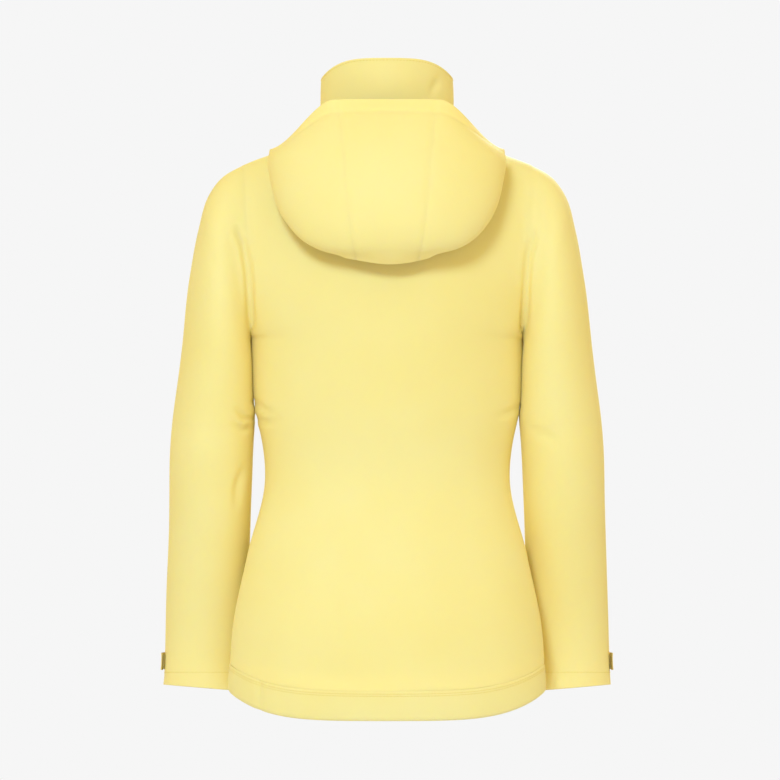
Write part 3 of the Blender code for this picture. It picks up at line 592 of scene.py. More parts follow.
def addNode(tree, kind, settings=None, links=None):
    # settings name a property or an input; links join an input to another node's output
    node = tree.nodes.new("ShaderNode" + kind)
    for key, value in (settings or {}).items():
        if isinstance(key, int) or key in node.inputs:
            node.inputs[key].default_value = value
        else:
            setattr(node, key, value)
    for key, source in (links or {}).items():
        tree.links.new(source, node.inputs[key])
    return node


def wovenBump(tree, shader, spacing, strength, distance, wave=0.0, slant=0.0):
    # warp and weft ridges in the cloth's own lengths, with a softer crumple under them
    uv = addNode(tree, "UVMap", {"uv_map": "cloth"})
    turned = addNode(tree, "Mapping", {"Rotation": (0, 0, slant)}, {"Vector": uv.outputs["UV"]})
    scale = math.pi * 2 / spacing / 20
    warp = addNode(
        tree, "TexWave", {"bands_direction": "X", "Scale": scale}, {"Vector": turned.outputs["Vector"]}
    )
    weft = addNode(
        tree, "TexWave", {"bands_direction": "Y", "Scale": scale}, {"Vector": turned.outputs["Vector"]}
    )
    weave = addNode(
        tree, "Math", {"operation": "MAXIMUM"}, {0: warp.outputs["Fac"], 1: weft.outputs["Fac"]}
    )
    place = addNode(tree, "TexCoord")
    soft = addNode(tree, "TexNoise", {"Scale": 60.0, "Detail": 4.0}, {"Vector": place.outputs["Object"]})
    under = addNode(tree, "Bump", {"Strength": wave, "Distance": 0.002}, {"Height": soft.outputs["Fac"]})
    bump = addNode(
        tree, "Bump", {"Strength": strength, "Distance": distance},
        {"Height": weave.outputs["Value"], "Normal": under.outputs["Normal"]}
    )
    tree.links.new(bump.outputs["Normal"], shader.inputs["Normal"])
    return weave, place


def plainMix(tree, factor, first, second):
    node = addNode(tree, "MixRGB", {"Color1": linear(first), "Color2": linear(second)}, {"Fac": factor})
    return node.outputs["Color"]


def clothMaterial(name, light, deep, spacing, look):
    material, tree, shader = newMaterial(name)
    weave, place = wovenBump(
        tree, shader, spacing, look["weave"], look["threadHigh"], look.get("crumple", 0.0),
        look.get("slant", 0.0)
    )
    patches = addNode(
        tree, "TexNoise", {"Scale": look.get("patchScale", 7.0), "Detail": 2.0},
        {"Vector": place.outputs["Object"]}
    )
    dye = addNode(
        tree, "MapRange",
        {"From Min": 0.35, "From Max": 0.7, "To Min": 0.0, "To Max": look.get("patch", 0.35)},
        {"Value": patches.outputs["Fac"]}
    )
    # the weave's valleys between threads take the deep colour as painted shade, added to the random dye patches
    thread = addNode(
        tree, "MapRange",
        {"From Min": 0.0, "From Max": 1.0, "To Min": look.get("valley", 0.18), "To Max": 0.0},
        {"Value": weave.outputs["Value"]}
    )
    both = addNode(
        tree, "Math", {"operation": "ADD", "use_clamp": True},
        {0: dye.outputs["Result"], 1: thread.outputs["Result"]}
    )
    tree.links.new(plainMix(tree, both.outputs["Value"], light, deep), shader.inputs["Base Color"])
    for socket, value in look["shader"].items():
        shader.inputs[socket].default_value = value
    return material


shellCloth = clothMaterial(
    # the deeper colour is random dye patches plus painted shade in the weave's valleys, set by valley
    "coated woven polyester", "#f9e8a2", "#f6da76", 0.0008,
    {
        "weave": 0.10, "threadHigh": 0.00018, "crumple": 0.05, "patch": 0.25, "valley": 0.10,
        # a matt face with a little sheen, and light that warms as it passes through the cloth
        "shader": {
            "Roughness": 0.68, "IOR": 1.5,
            "Sheen Weight": 0.15, "Sheen Roughness": 0.4, "Sheen Tint": linear("#fff3b0"),
            "Subsurface Weight": 0.30, "Subsurface Radius": (1.0, 0.62, 0.12), "Subsurface Scale": 0.006,
        },
    },
)
liningCloth = clothMaterial(
    "brushed tricot lining", "#efe6c2", "#ddd0a0", 0.0010,
    {
        "weave": 0.20, "threadHigh": 0.0002, "crumple": 0.05, "patch": 0.3, "slant": math.pi / 4,
        "shader": {"Roughness": 0.85, "IOR": 1.5, "Sheen Weight": 0.35, "Sheen Roughness": 0.5},
    },
)


def solidMaterial(name, light, deep, grain, look):
    # moulded, cast or braided finishes: a fine grain over a slow change of tone
    material, tree, shader = newMaterial(name)
    place = addNode(tree, "TexCoord")
    slow = addNode(tree, "TexNoise", {"Scale": 40.0, "Detail": 2.0}, {"Vector": place.outputs["Object"]})
    fine = addNode(tree, "TexNoise", {"Scale": grain, "Detail": 3.0}, {"Vector": place.outputs["Object"]})
    tree.links.new(plainMix(tree, slow.outputs["Fac"], light, deep), shader.inputs["Base Color"])
    worn = addNode(
        tree, "MapRange", {"To Min": look["rough"][0], "To Max": look["rough"][1]},
        {"Value": fine.outputs["Fac"]}
    )
    tree.links.new(worn.outputs["Result"], shader.inputs["Roughness"])
    bump = addNode(
        tree, "Bump", {"Strength": look["bump"], "Distance": 0.0002}, {"Height": fine.outputs["Fac"]}
    )
    tree.links.new(bump.outputs["Normal"], shader.inputs["Normal"])
    for socket, value in look["shader"].items():
        shader.inputs[socket].default_value = value
    return material


# acetal teeth and nylon coil: satin, dyed with the cloth; grain about 0.5 mm
mouldedTeeth = solidMaterial(
    "moulded acetal", "#f4e28c", "#eed874", 2000.0,
    {"rough": (0.34, 0.46), "bump": 0.05, "shader": {"IOR": 1.48}}
)
# rubbery TPU tab with a fine mould texture, 0.8 mm grain
mouldedTrim = solidMaterial(
    "moulded TPU", "#f3e294", "#ecd67c", 1250.0,
    {"rough": (0.48, 0.62), "bump": 0.20, "shader": {"IOR": 1.50}}
)
# plated zinc casting, slightly tumbled so it keeps soft highlights
castMetal = solidMaterial(
    "plated zinc alloy", "#c9c8c2", "#b9b8b1", 1600.0,
    {"rough": (0.24, 0.38), "bump": 0.08, "shader": {"Metallic": 1.0}}
)
# acetal cord lock, tumbled matt
mouldedLock = solidMaterial(
    "moulded acetal lock", "#dcd9cc", "#d0ccbd", 1800.0,
    {"rough": (0.38, 0.50), "bump": 0.08, "shader": {"IOR": 1.48}}
)
# braided elastic cord: ribs about 1 mm apart give the braid
braidedCord = solidMaterial(
    "braided elastic cord", "#b9b6ab", "#a5a297", 1000.0,
    {"rough": (0.75, 0.90), "bump": 0.9, "shader": {"IOR": 1.5, "Sheen Weight": 0.3}}
)
# hook-and-loop: a fuzzy face with 1 mm tufts
loopCloth = solidMaterial(
    "knitted nylon loop", "#efe2b4", "#dccb93", 1000.0,
    {
        "rough": (0.85, 0.95), "bump": 1.0,
        "shader": {"IOR": 1.53, "Sheen Weight": 0.6, "Sheen Roughness": 0.4}
    }
)
# twisted polyester thread a shade deeper than the cloth
thread = solidMaterial(
    "polyester thread", "#ecd774", "#e2ca5f", 1500.0,
    {"rough": (0.55, 0.70), "bump": 0.3, "shader": {"IOR": 1.5, "Sheen Weight": 0.3}}
)
labelCloth = solidMaterial(
    "woven satin label", "#efece0", "#e6e2d3", 1400.0,
    {"rough": (0.45, 0.60), "bump": 0.3, "shader": {"IOR": 1.5, "Sheen Weight": 0.3}}
)
# herringbone zip tape, dyed with the shell; 1 mm ribs
wovenTape = clothMaterial(
    "woven zip tape", "#f6e493", "#e8d076", 0.0010,
    {
        "weave": 0.5, "threadHigh": 0.0003, "patch": 0.2, "slant": math.pi / 4,
        "shader": {"Roughness": 0.8, "IOR": 1.5, "Sheen Weight": 0.2}
    },
)


print("shell: cutting the skin into its panels")
bends = {"armEnd": 0.42, "elbowEnd": 0.72}  # shares of the sleeve that each point's place along it is divided by when it is laid out
# each point's place in its own flat cloth, in metres
clothUv = np.stack([shareU * 0.40, shareV * 0.70], axis=1)
clothUv[onSleeve] = np.stack([shareU[onSleeve] * 0.36, shareV[onSleeve] * 0.62], axis=1)
elbowShare = float(shareV[np.unique(quads[labels == "lowerSleeveL"])].min())
backShell, _ = skinPiece("backShell", "backPanel", shellCloth, "jacket")
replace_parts(backShell, "back_panel")
for tag, side in sides:
    frontShell, _ = skinPiece("frontShell" + tag, "frontPanel" + tag, shellCloth, "jacket")
    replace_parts(frontShell, "front_panel_" + tag)
    upperCloth, along = skinPiece("upperSleeveShell" + tag, "upperSleeve" + tag, shellCloth)
    bendAlong(upperCloth, along / bends["armEnd"])
    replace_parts(upperCloth, "upper_sleeve_" + tag)
    lowerCloth, along = skinPiece("lowerSleeveShell" + tag, "lowerSleeve" + tag, shellCloth)
    bendAlong(
        lowerCloth,
        (along - elbowShare) / (bends["elbowEnd"] - elbowShare)
    )
    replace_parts(lowerCloth, "lower_sleeve_" + tag)


studio = {
    "cameraAway": 7.63, "lens": 300.0, "cameraX": -0.0035, "cameraZ": -0.315,
    "floorZ": -1.45, "floorHalf": 2.6, "paper": "#f6f6f6", "floorPaper": "#dde3fb", "aim": -0.3,
    "room": (1.0, 0.78, 0.36, 1), "roomStrength": 0.82, "keySize": 2.0, "keyColor": (0.62, 0.83, 1.0),
}


def areaLight(name, place, target, size, power, color):
    light = bpy.data.lights.new(name, "AREA")
    light.shape, light.size, light.energy, light.color = "DISK", size, power, color
    obj = bpy.data.objects.new(name, light)
    bpy.context.scene.collection.objects.link(obj)
    obj.location = place
    obj.rotation_euler = (Vector(target) - Vector(place)).to_track_quat("-Z", "Y").to_euler()


def makeStage():
    camera = bpy.data.cameras.new("camera")
    camera.lens, camera.sensor_width, camera.clip_end = studio["lens"], 36.0, 50.0
    eye = bpy.data.objects.new("camera", camera)
    bpy.context.scene.collection.objects.link(eye)
    eye.location = (studio["cameraX"], studio["cameraAway"] + 0.02, studio["cameraZ"])
    eye.rotation_euler = (math.pi / 2, 0, math.pi)
    bpy.context.scene.camera = eye
    world = bpy.data.worlds.new("studio")
    bpy.context.scene.world = world
    world.use_nodes = True
    tree = world.node_tree
    back = tree.nodes["Background"]
    back.inputs["Color"].default_value = linear(studio["paper"])
    # the paper behind stays neutral while the room's bounce is a little warm
    room = addNode(tree, "Background", {"Color": studio["room"], "Strength": studio["roomStrength"]})
    seen = addNode(tree, "LightPath")
    both = addNode(
        tree, "MixShader", {},
        {"Fac": seen.outputs["Is Camera Ray"], 1: room.outputs[0], 2: back.outputs[0]}
    )
    tree.links.new(both.outputs[0], tree.nodes["World Output"].inputs["Surface"])
    # two cool keys light the back and the front alike
    for name, place, power in (("key", (1.5, 6.9, 3.6), 370), ("frontKey", (-1.5, -6.9, 3.6), 360)):
        areaLight(name, place, (0, 0, studio["aim"]), studio["keySize"], power, studio["keyColor"])
    areaLight("fill", (-5.2, 4.4, 0.6), (0, 0, -0.35), 4.0, 25, (1.0, 0.86, 0.60))
    half, z = studio["floorHalf"], studio["floorZ"]
    corners = np.array([(x * half, y * half, z) for x, y in ((-1, -1), (1, -1), (1, 1), (-1, 1))])
    mesh = finishMesh("floor", corners, [(0, 1, 2, 3)])
    # pale paper, cool enough to look neutral under the warm room
    material, tree, shader = newMaterial("matt studio paper")
    shader.inputs["Base Color"].default_value = linear(studio["floorPaper"])
    shader.inputs["Roughness"].default_value = 0.9
    addPiece("floor", mesh, material)
    bpy.context.scene.view_settings.view_transform = "Standard"


print("stage: camera, light and floor")
makeStage()


# Collar, hem and hood: each its own cloth, sewn to the shell.
collarCut = {
    "height": 0.075, "sideHeight": 0.066, "lean": 0.005, "lift": 0.0024, "edge": 0.015, "rows": 22,
    "columns": 150
}
hoodCut = {
    "half": 0.140, "backY": 0.168, "brimY": 0.092, "brimRise": 0.0255, "panelHalf": 0.058, "flat": 0.060,
    "lie": 0.0045, "brimWidth": 0.018, "edge": 0.985, "columns": 132, "rows": 84,
}


def collarPoint(t, rise, inset=0.0):
    # t runs 0 to 1 from one front edge round the back to the other, rise 0 to 1 up the collar
    angle = math.pi * (t * 2 - 1)
    turn = math.cos(angle)
    base = topLine(1, abs(angle) / math.pi) if turn >= 0 else topLine(-1, 1 - abs(angle) / math.pi)
    base.z += collarCut["lift"]
    top = cut["backLength"] + collarCut["height"]
    side = cut["backLength"] - cut["neckDrop"] + collarCut["sideHeight"]
    across = abs(base.x) / cut["neckHalf"]
    height = mix(top, side, across**4) if turn >= 0 else side  # the rim arches over the nape
    far = cut["neckBackY"] + collarCut["lean"] if turn >= 0 else zipY(height)
    above = Vector((base.x, mix(cut["neckSideY"], far, abs(turn)), height))
    point = base.lerp(above, rise)
    middle = Vector((0, mix(cut["neckSideY"], zipY(height), 0.1), point.z))
    point -= (point - middle).normalized() * inset
    return Vector((math.copysign(point.x, t - 0.5), point.y, point.z))


def sagged(point, outward, amount, seed, scale):
    n = noise.noise((point[0] * scale[0] + seed, point[1] * scale[1], point[2] * scale[2] - seed))
    return Vector(point) + Vector(outward) * (amount * n)


def makeCollar():
    shape = collarCut
    rows = []
    for r in range(shape["rows"] + 1):
        rise = mix(-0.045, 1, r / shape["rows"])  # the foot of the collar is sewn inside the neckline
        row = []
        for c in range(shape["columns"] + 1):
            t = mix(shape["edge"], 1 - shape["edge"], c / shape["columns"])
            point = collarPoint(
                t, rise,
                mix(0.0022, 0, smooth((rise + 0.045) / 0.06)) - 0.0008 * math.sin(math.pi * max(rise, 0))
            )
            outward = Vector((point.x, point.y + 0.02, 0)).normalized()
            # a crease low on the wearer's right and a soft ripple round the rest
            crease = math.exp(-(((point.x + 0.056 + (rise - 0.62) * 0.03) / 0.0042) ** 2)) * math.exp(
                -(((rise - 0.66) / 0.16) ** 2)
            )
            crease *= 1 if point.y > 0 else 0
            row.append(
                sagged(
                    point, outward, 0.0010 * math.sin(math.pi * rise), 4.2, (16, 16, 20)
                ) - outward * 0.0026 * crease
            )
        rows.append(row)
    outer = clothGrid("collarShell", shellCloth, rows, 0.0014, "jacket", turn=True)
    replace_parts(outer, "collar_shell")
    # the facing rises to meet the shell's top edge, so the collar closes in a rolled edge
    facing = []
    for r in range(shape["rows"] + 1):
        rise = r / shape["rows"]
        inset = mix(cut["liningGap"], 0.0018, smooth((rise - 0.82) / 0.18))
        facing.append(
            [collarPoint(mix(0.045, 0.955, c / 120), mix(0.02, 0.995, rise), inset) for c in range(121)]
        )
    inner = clothGrid("collarFacing", liningCloth, facing, 0.0008, "jacket", turn=False)
    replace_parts(inner, "collar_lining")


def hemPoint(share, v, inset):
    # share runs -1 to 1 from the right zip tape, by the back, to the left one
    side, s = (1 if share >= 0 else -1), abs(share)
    face, u = (1, s * 2) if s <= 0.5 else (-1, (1 - s) * 2)
    point = bodyPoint(face, u, v, inset)
    return flipped(point, side)


def makeHem():
    v = cut["hemV"]
    channel = cut["hemChannel"]
    profile = [
        (v * 0.985, 0.0005), (v * 0.96, 0.0), (v * 0.85, 0.0), (v * 0.7, -0.0003), (v * 0.5, -0.0004),
        (v * 0.3, -0.0002)
    ]
    profile += [
        (v * 0.14, 0.0001), (v * 0.05, 0.0004), (0.0, 0.0016), (0.0, channel * 0.5), (0.0, channel - 0.0014)
    ]
    profile += [(v * 0.08, channel), (v * 0.5, channel), (v * 0.95, channel)]
    rows = []
    for height, inset in profile:
        row = []
        for c in range(321):
            share = mix(-1, 1, c / 320)
            point = hemPoint(share, height, inset)
            ripple = 0.0007 * noise.noise((point.x * 26, point.y * 26, 3.3)) * (1 if inset < 0.003 else 0)
            gather = math.exp(-(((point.x - 0.149) / 0.004) ** 2)) * (0.0016 if point.y > 0 else 0)
            out = Vector((point.x * 0.6, point.y, 0)).normalized()
            row.append(point + out * (ripple - gather))
        rows.append(row)
    hem = clothGrid("hemCasing", shellCloth, rows[::-1], 0.0010, "jacket", turn=False)
    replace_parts(hem, "hem_casing")


hoodRows = [
    (hoodCut["half"] - 0.002, hoodCut["brimY"], 0.050, 0.7000 + hoodCut["brimRise"], 0.668),
    (hoodCut["half"], mix(hoodCut["brimY"], hoodCut["backY"], 0.43), 0.062, 0.690, 0.653),
    (hoodCut["half"] - 0.002, mix(hoodCut["brimY"], hoodCut["backY"], 0.76), 0.078, 0.650, 0.638),
    (hoodCut["half"] - 0.010, hoodCut["backY"] - 0.004, 0.095, 0.605, 0.603),
    (hoodCut["half"] - 0.024, hoodCut["backY"], 0.110, 0.573, 0.577),
    (hoodCut["half"] - 0.046, hoodCut["backY"] - 0.006, 0.122, 0.550, 0.556),
    (hoodCut["half"] - 0.088, hoodCut["backY"] - 0.024, 0.129, 0.533, 0.539),
]


def hoodPoint(s, t, inset=0.0):
    # s is -1 to 1 across the hood, t 0 at the brim and 1 where it folds under
    if inset:
        step = 0.01
        along = hoodPoint(min(s + step, 1), t) - hoodPoint(max(s - step, -1), t)
        down = hoodPoint(s, min(t + step, 1)) - hoodPoint(s, max(t - step, 0))
        return hoodPoint(s, t) - along.cross(down).normalized() * inset
    half, outY, sideY, centerZ, sideZ = curveAt(hoodRows, t)
    angle = s * math.pi / 2
    x = half * math.sin(angle)
    y = mix(sideY, outY, abs(math.cos(angle)) ** 0.9)
    slope = mix(
        smooth((abs(x) - hoodCut["flat"]) / (hoodCut["half"] - hoodCut["flat"])), s * s, min(t * 4, 1)
    )
    return Vector((x, y, mix(centerZ, sideZ, slope)))


def hoodSeam(t):
    half = curveAt(hoodRows, t)[0]
    wide = mix(hoodCut["panelHalf"], hoodCut["panelHalf"] * 0.62, t)
    return math.asin(min(wide / half, 0.98)) / (math.pi / 2)


def makeHood():
    shape = hoodCut
    brimEnd = shape["brimWidth"] / 0.25
    rows = []
    for r in range(shape["rows"] + 1):
        t = r / shape["rows"]
        row = []
        for c in range(shape["columns"] + 1):
            s = mix(-shape["edge"], shape["edge"], c / shape["columns"])
            point = hoodPoint(s, t)
            out = (point - Vector((0, 0.02, 0.62))).normalized()
            # shallow valleys where the panels are sewn, a step under the brim, slack in the bag
            valley = math.exp(-(((abs(s) - hoodSeam(t)) / 0.018) ** 2)) * 0.0007
            step = 0.0009 * math.exp(-(((t - brimEnd) / 0.012) ** 2))
            bag = math.sin(math.pi * min(t * 1.05, 1))
            slack = 0.0022 * noise.noise((point.x * 9, point.z * 9, 7.7)) * bag
            # the lower edge hangs in lobes
            lobes = 0.004 * math.exp(-(((t - 0.97) / 0.07) ** 2)) * math.cos((point.x + 0.005) / 0.052 * math.pi)
            row.append(point + out * (slack - valley - step) - Vector((0, 0, lobes * 0.6)))
        rows.append(row)
    skinPoints = np.array([[tuple(p) for p in row] for row in rows]) + np.array(toWorld)
    flat = skinPoints.reshape(-1, 3)
    hoodQuads = gridQuads(len(rows), len(rows[0]))
    hoodNormals = skinNormals(flat, hoodQuads)
    if hoodNormals[len(flat) // 2][1] < 0:
        hoodQuads, hoodNormals = hoodQuads[:, ::-1], -hoodNormals
    run = np.cumsum(np.linalg.norm(np.diff(skinPoints, axis=1, prepend=skinPoints[:, :1]), axis=2), axis=1)
    rise = np.cumsum(np.linalg.norm(np.diff(skinPoints, axis=0, prepend=skinPoints[:1]), axis=2), axis=0)
    uv = np.stack([run - run[:, [len(rows[0]) // 2]], rise], axis=2).reshape(-1, 2)
    columns = len(rows[0])
    quadRow = hoodQuads.min(axis=1) // columns
    quadShare = [(q.min() % columns + 0.5) / shape["columns"] for q in hoodQuads]
    quadS = np.array([mix(-shape["edge"], shape["edge"], share) for share in quadShare])
    quadT = (quadRow + 0.5) / shape["rows"]
    seam = np.array([hoodSeam(t) for t in quadT])
    parts = {
        "hoodBrim": (quadT <= brimEnd, "hood_brim", 0.0020),
        "hoodCenter": ((quadT > brimEnd) & (np.abs(quadS) <= seam), "hood_center_panel", 0.0012),
        "hoodSideL": ((quadT > brimEnd) & (quadS > seam), "hood_side_panel_L", 0.0012),
        "hoodSideR": ((quadT > brimEnd) & (quadS < -seam), "hood_side_panel_R", 0.0012),
    }
    for name, (chosen, node, thick) in parts.items():
        used, inverse = np.unique(hoodQuads[chosen], return_inverse=True)
        part = inverse.reshape(hoodQuads[chosen].shape)
        piece = clothFrom(name, shellCloth, flat[used], part, thick, "hood", uv[used], hoodNormals[used])
        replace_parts(piece, node)
    inner = []
    for r in range(51):
        t = mix(brimEnd, 0.96, r / 50)
        inner.append([hoodPoint(mix(-0.95, 0.95, c / 90), t, cut["liningGap"]) for c in range(91)])
    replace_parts(clothGrid("hoodLining", liningCloth, inner, 0.0008, "hood", turn=True), "hood_lining")
    back = []
    for r in range(41):
        v = mix(0.79, 0.9825, r / 40)
        back.append(
            [
                flipped(
                    bodyPoint(1, abs(k) / 40 * 0.5, v, -shape["lie"]), 1 if k >= 0 else -1
                ) for k in range(-40, 41)
            ]
        )
    under = clothGrid("hoodBack", shellCloth, back, 0.0008, "jacket", turn=True)
    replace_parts(under, "hood_back_panel")


print("collar, hem and hood")
makeCollar()
makeHem()
makeHood()


# Linings, cuffs, pockets and zips.
trimCut = {
    "tabRise": 0.022, "tabHeight": 0.020, "tabStart": 14, "tabProud": 0.0036, "patchProud": 0.0018,
    "pocketLow": (0.66, 0.135), "pocketHigh": (0.54, 0.300), "weltWidth": 0.014, "weltThick": 0.0014,
    "passTurn": -52, "passLowT": 0.62, "passHighT": 0.26, "passLift": 0.0030,
    "zipFoot": 0.012, "zipHead": 0.046, "teethOut": 0.0014, "tapeBack": 0.0028, "toothPitch": 0.0022,
    "stitchLong": 0.0028, "stitchGap": 0.0012, "threadRadius": 0.00028,
}
coilCut = {"end": 0.003, "wide": 0.0007, "high": 0.0006, "sink": 0.0004}
# plan of a slider and side view of its bridge, as shares of its width and length, and its puller
sliderCut = {
    "plate": (
        (-0.31, -0.5), (0.31, -0.5), (0.39, -0.1), (0.5, 0.22), (0.45, 0.5), (0.125, 0.5), (0, 0.36),
        (-0.125, 0.5), (-0.45, 0.5), (-0.5, 0.22), (-0.39, -0.1),
    ),
    "bridge": (
        (-0.38, 0.0), (-0.38, 0.55), (-0.26, 0.9), (0.20, 0.9), (0.36, 0.55), (0.36, 0.0),
        (0.24, 0.0), (0.22, 0.42), (0.12, 0.62), (-0.18, 0.62), (-0.26, 0.42), (-0.26, 0.0),
    ),
    "grip": (
        (-0.16, 0.0), (-0.30, -0.05), (-0.24, -0.22), (-0.33, -0.45), (-0.33, -0.90), (-0.22, -1.0),
        (0.22, -1.0), (0.33, -0.90), (0.33, -0.45), (0.24, -0.22), (0.30, -0.05), (0.16, 0.0),
    ),
    "bevel": 0.0004, "pullThick": 0.0014, "pullRise": 0.0038, "pullShare": 2.6, "ribs": 4,
}
zipRun = Vector((0, cut["zipLean"], 1)).normalized()
zipOut = Vector((0, -1, cut["zipLean"])).normalized()
across = Vector((1, 0, 0))


def puckered(point, inset, scale=18, amount=0.0006, seed=1.9):
    return Vector(point) + Vector((0, 1, 0)) * amount * noise.noise(
        (point[0] * scale, point[2] * scale * 0.4, seed + inset)
    )


def bodyPatch(face, uEnds, vEnds, columns, rows, inset, side=1):
    grid = []
    for r in range(rows + 1):
        v = mix(*vEnds, r / rows)
        line = []
        for c in range(columns + 1):
            u = mix(*uEnds, c / columns)
            point = bodyPoint(face, abs(u), v, inset)
            if u == 0 and face > 0:
                point.x = 0
            line.append(puckered(flipped(point, side if u >= 0 else -side), inset))
        grid.append(line)
    return grid


def makeLinings():
    top, low, edge = 0.9645, cut["hemV"] + 0.012, 0.9865
    back = bodyPatch(1, (-edge, edge), (low, top), 90, 110, cut["liningGap"])
    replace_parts(clothGrid("backLining", liningCloth, back, 0.0008, "jacket", turn=True), "back_lining")
    for tag, side in sides:
        front = bodyPatch(-1, (0.16, edge), (low, top), 46, 110, cut["liningGap"], side)
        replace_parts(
            clothGrid("frontLining" + tag, liningCloth, front, 0.0008, "jacket", turn=side < 0),
            "front_lining_" + tag
        )
        tube = sleeveTube(side, 0.004, elbowShare, 70, 64, cut["liningGap"])
        inner = clothGrid("sleeveLining" + tag, liningCloth, tube, 0.0008, None, ring=True, turn=side > 0)
        shares = np.repeat(np.linspace(0.004, elbowShare, 71), 64) / bends["armEnd"]
        bendAlong(inner, np.concatenate([shares, shares]))
        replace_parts(inner, "upper_sleeve_lining_" + tag)
        gaiter = sleeveTube(
            side, mix(elbowShare, 1, 0.66), mix(elbowShare, 1, 0.93), 34, 72, 0.0105, 0.0165
        )
        for r, ring in enumerate(gaiter):
            # ribs of the knitted gaiter
            middle = sum(ring, Vector()) / len(ring)
            for k, point in enumerate(ring):
                ring[k] = point + (point - middle).normalized() * (0.0005 * math.cos(k * math.pi))
        ribbed = clothGrid(
            "cuffGaiter" + tag, liningCloth, gaiter, 0.0010, "lower_sleeve_" + tag, ring=True, turn=side > 0
        )
        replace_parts(ribbed, "cuff_gaiter_" + tag)
    skirt = []
    for r in range(29):
        t = r / 28
        v, inset = mix(0.285, 0.150, t), mix(0.011, 0.017, t)
        row = []
        for c in range(361):
            share = mix(-0.90, 0.90, c / 360)
            point = hemPoint(share, v, inset)
            wave = 0.0016 * t * math.sin(c * math.pi / 3)
            row.append(point + Vector((point.x, point.y, 0)).normalized() * wave)
        skirt.append(row)
    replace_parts(clothGrid("powderSkirt", liningCloth, skirt, 0.0008, "jacket", turn=False), "powder_skirt")


def cuffRing(t, proud):
    ex, ey, eh, ed = sleeveCut["elbow"]
    cx, cy, ch, cd = sleeveCut["cuff"]
    ahead = t * (sleeveCut["elbowZ"] - sleeveCut["cuffZ"]) / sleeveCut["forearm"]
    y = mix(ey, cy, mix(ahead, smooth(ahead), 0.6))
    return mix(ex, cx, t), y, mix(eh, ch, t) + proud, mix(ed, cd, t) + proud


def cuffBand(side, turns, heights, proud, columns):
    rows = []
    for height in heights:
        t = 1 - (height - sleeveCut["cuffZ"]) / (sleeveCut["elbowZ"] - sleeveCut["cuffZ"])
        x, y, half, depth = cuffRing(t, proud)
        row = []
        for c in range(columns + 1):
            angle = math.radians(mix(*turns, c / columns))
            row.append(Vector(((x + half * math.cos(angle)) * side, y + depth * math.sin(angle), height)))
        rows.append(row)
    return rows


def makeCuffs():
    low = sleeveCut["cuffZ"] + trimCut["tabRise"]
    high = low + trimCut["tabHeight"]
    for tag, side in sides:
        heights = [mix(low + 0.002, high - 0.002, k / 8) for k in range(9)]
        patch = cuffBand(side, (-82, trimCut["tabStart"] - 18), heights, trimCut["patchProud"], 40)
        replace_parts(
            clothGrid("loopPatch" + tag, loopCloth, patch, 0.0008, "lower_sleeve_" + tag, turn=side < 0),
            "loop_patch_" + tag
        )
        heights = [mix(low, high, k / 14) for k in range(15)]
        rows = cuffBand(side, (-74, trimCut["tabStart"]), heights, trimCut["tabProud"], 60)
        middle = cuffRing(0.93, 0)
        for r, row in enumerate(rows):
            for c, point in enumerate(row):
                s, t = c / 60, r / 14
                # rounded at its free end, with a raised welded edge and a finger hollow
                point.z += (0.5 - t) * trimCut["tabHeight"] * 0.55 * max(0, 1 - s / 0.10) ** 2
                rim = min(s * 8, (1 - s) * 8, t * 3.5, (1 - t) * 3.5, 1)
                out = Vector((point.x - middle[0] * side, point.y - middle[1], 0)).normalized()
                row[c] = point + out * (
                    0.0004 * (1 - smooth(rim)) - 0.0003 * math.exp(-(((s - 0.12) / 0.06) ** 2))
                )
        tab = clothGrid("cuffTab" + tag, mouldedTrim, rows, 0.0016, "cuff_tab_" + tag, turn=side < 0)
        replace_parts(tab, "cuff_tab_" + tag)
        # the tab's end is sewn down over a short cloth pad that fills in under it
        pad = cuffBand(
            side, (trimCut["tabStart"] - 14, trimCut["tabStart"] - 1),
            [mix(low + 0.001, high - 0.001, k / 8) for k in range(9)], trimCut["tabProud"] - 0.0017, 12
        )
        clothGrid("cuffTabPad" + tag, shellCloth, pad, 0.0020, "lower_sleeve_" + tag, turn=side < 0)


def zipPoint(z, out=0.0):
    return Vector((0, zipY(z), z)) + zipOut * out


def stripGrid(name, material, start, end, half, back, thick, wave=0.0, rows=120, columns=12):
    # a strip behind the zip, its long edges softly rolled
    grid = []
    for r in range(rows + 1):
        base = start.lerp(end, r / rows)
        line = []
        for c in range(columns + 1):
            s = c / columns * 2 - 1
            ripple = wave * noise.noise((base.z * 14, s * 1.4, 2.2)) * abs(s)
            line.append(base + across * (half * s) + zipOut * (-back + ripple * 0.5))
        grid.append(line)
    return clothGrid(name, material, grid, thick, "jacket", turn=False)


def makeTeeth(
    name, start, run, out, side, length, body, wide=0.0026, high=0.0034, sink=-0.0018, offset=0.0
):
    # moulded teeth along one tape, each a small chamfered block, half a pitch apart on the two sides
    way = run.cross(out) * side
    points, faces = [], []
    pitch = trimCut["toothPitch"]
    for k in range(int(length / pitch)):
        base = start + run * (pitch * (k + 0.5 + offset))
        ring = (
            (0.0002, 0.50), (0.0005, 0.62), (wide, 0.62), (wide, -0.62), (0.0005, -0.62), (0.0002, -0.50)
        )
        first = len(points)
        for level, shrink in ((sink, 1.0), (sink + high * 0.8, 1.0), (sink + high, 0.7)):
            for x, y in ring:
                points.append(
                    base + way * (
                        x if shrink == 1 else mix(wide / 2, x, 0.8)
                    ) + run * (y * pitch * 0.5 * shrink) + out * level
                )
        n = len(ring)
        faces.append([first + i for i in range(n)][::-1])
        faces.append([first + 2 * n + i for i in range(n)])
        for level in (0, n):
            for i in range(n):
                j = (i + 1) % n
                faces.append(
                    (first + level + i, first + level + j, first + level + n + j, first + level + n + i)
                )
    mesh = bpy.data.meshes.new(name)
    mesh.from_pydata([tuple(p + toWorld) for p in points], [], faces)
    fixNormals(mesh)
    return addPiece(name, mesh, mouldedTeeth, body)


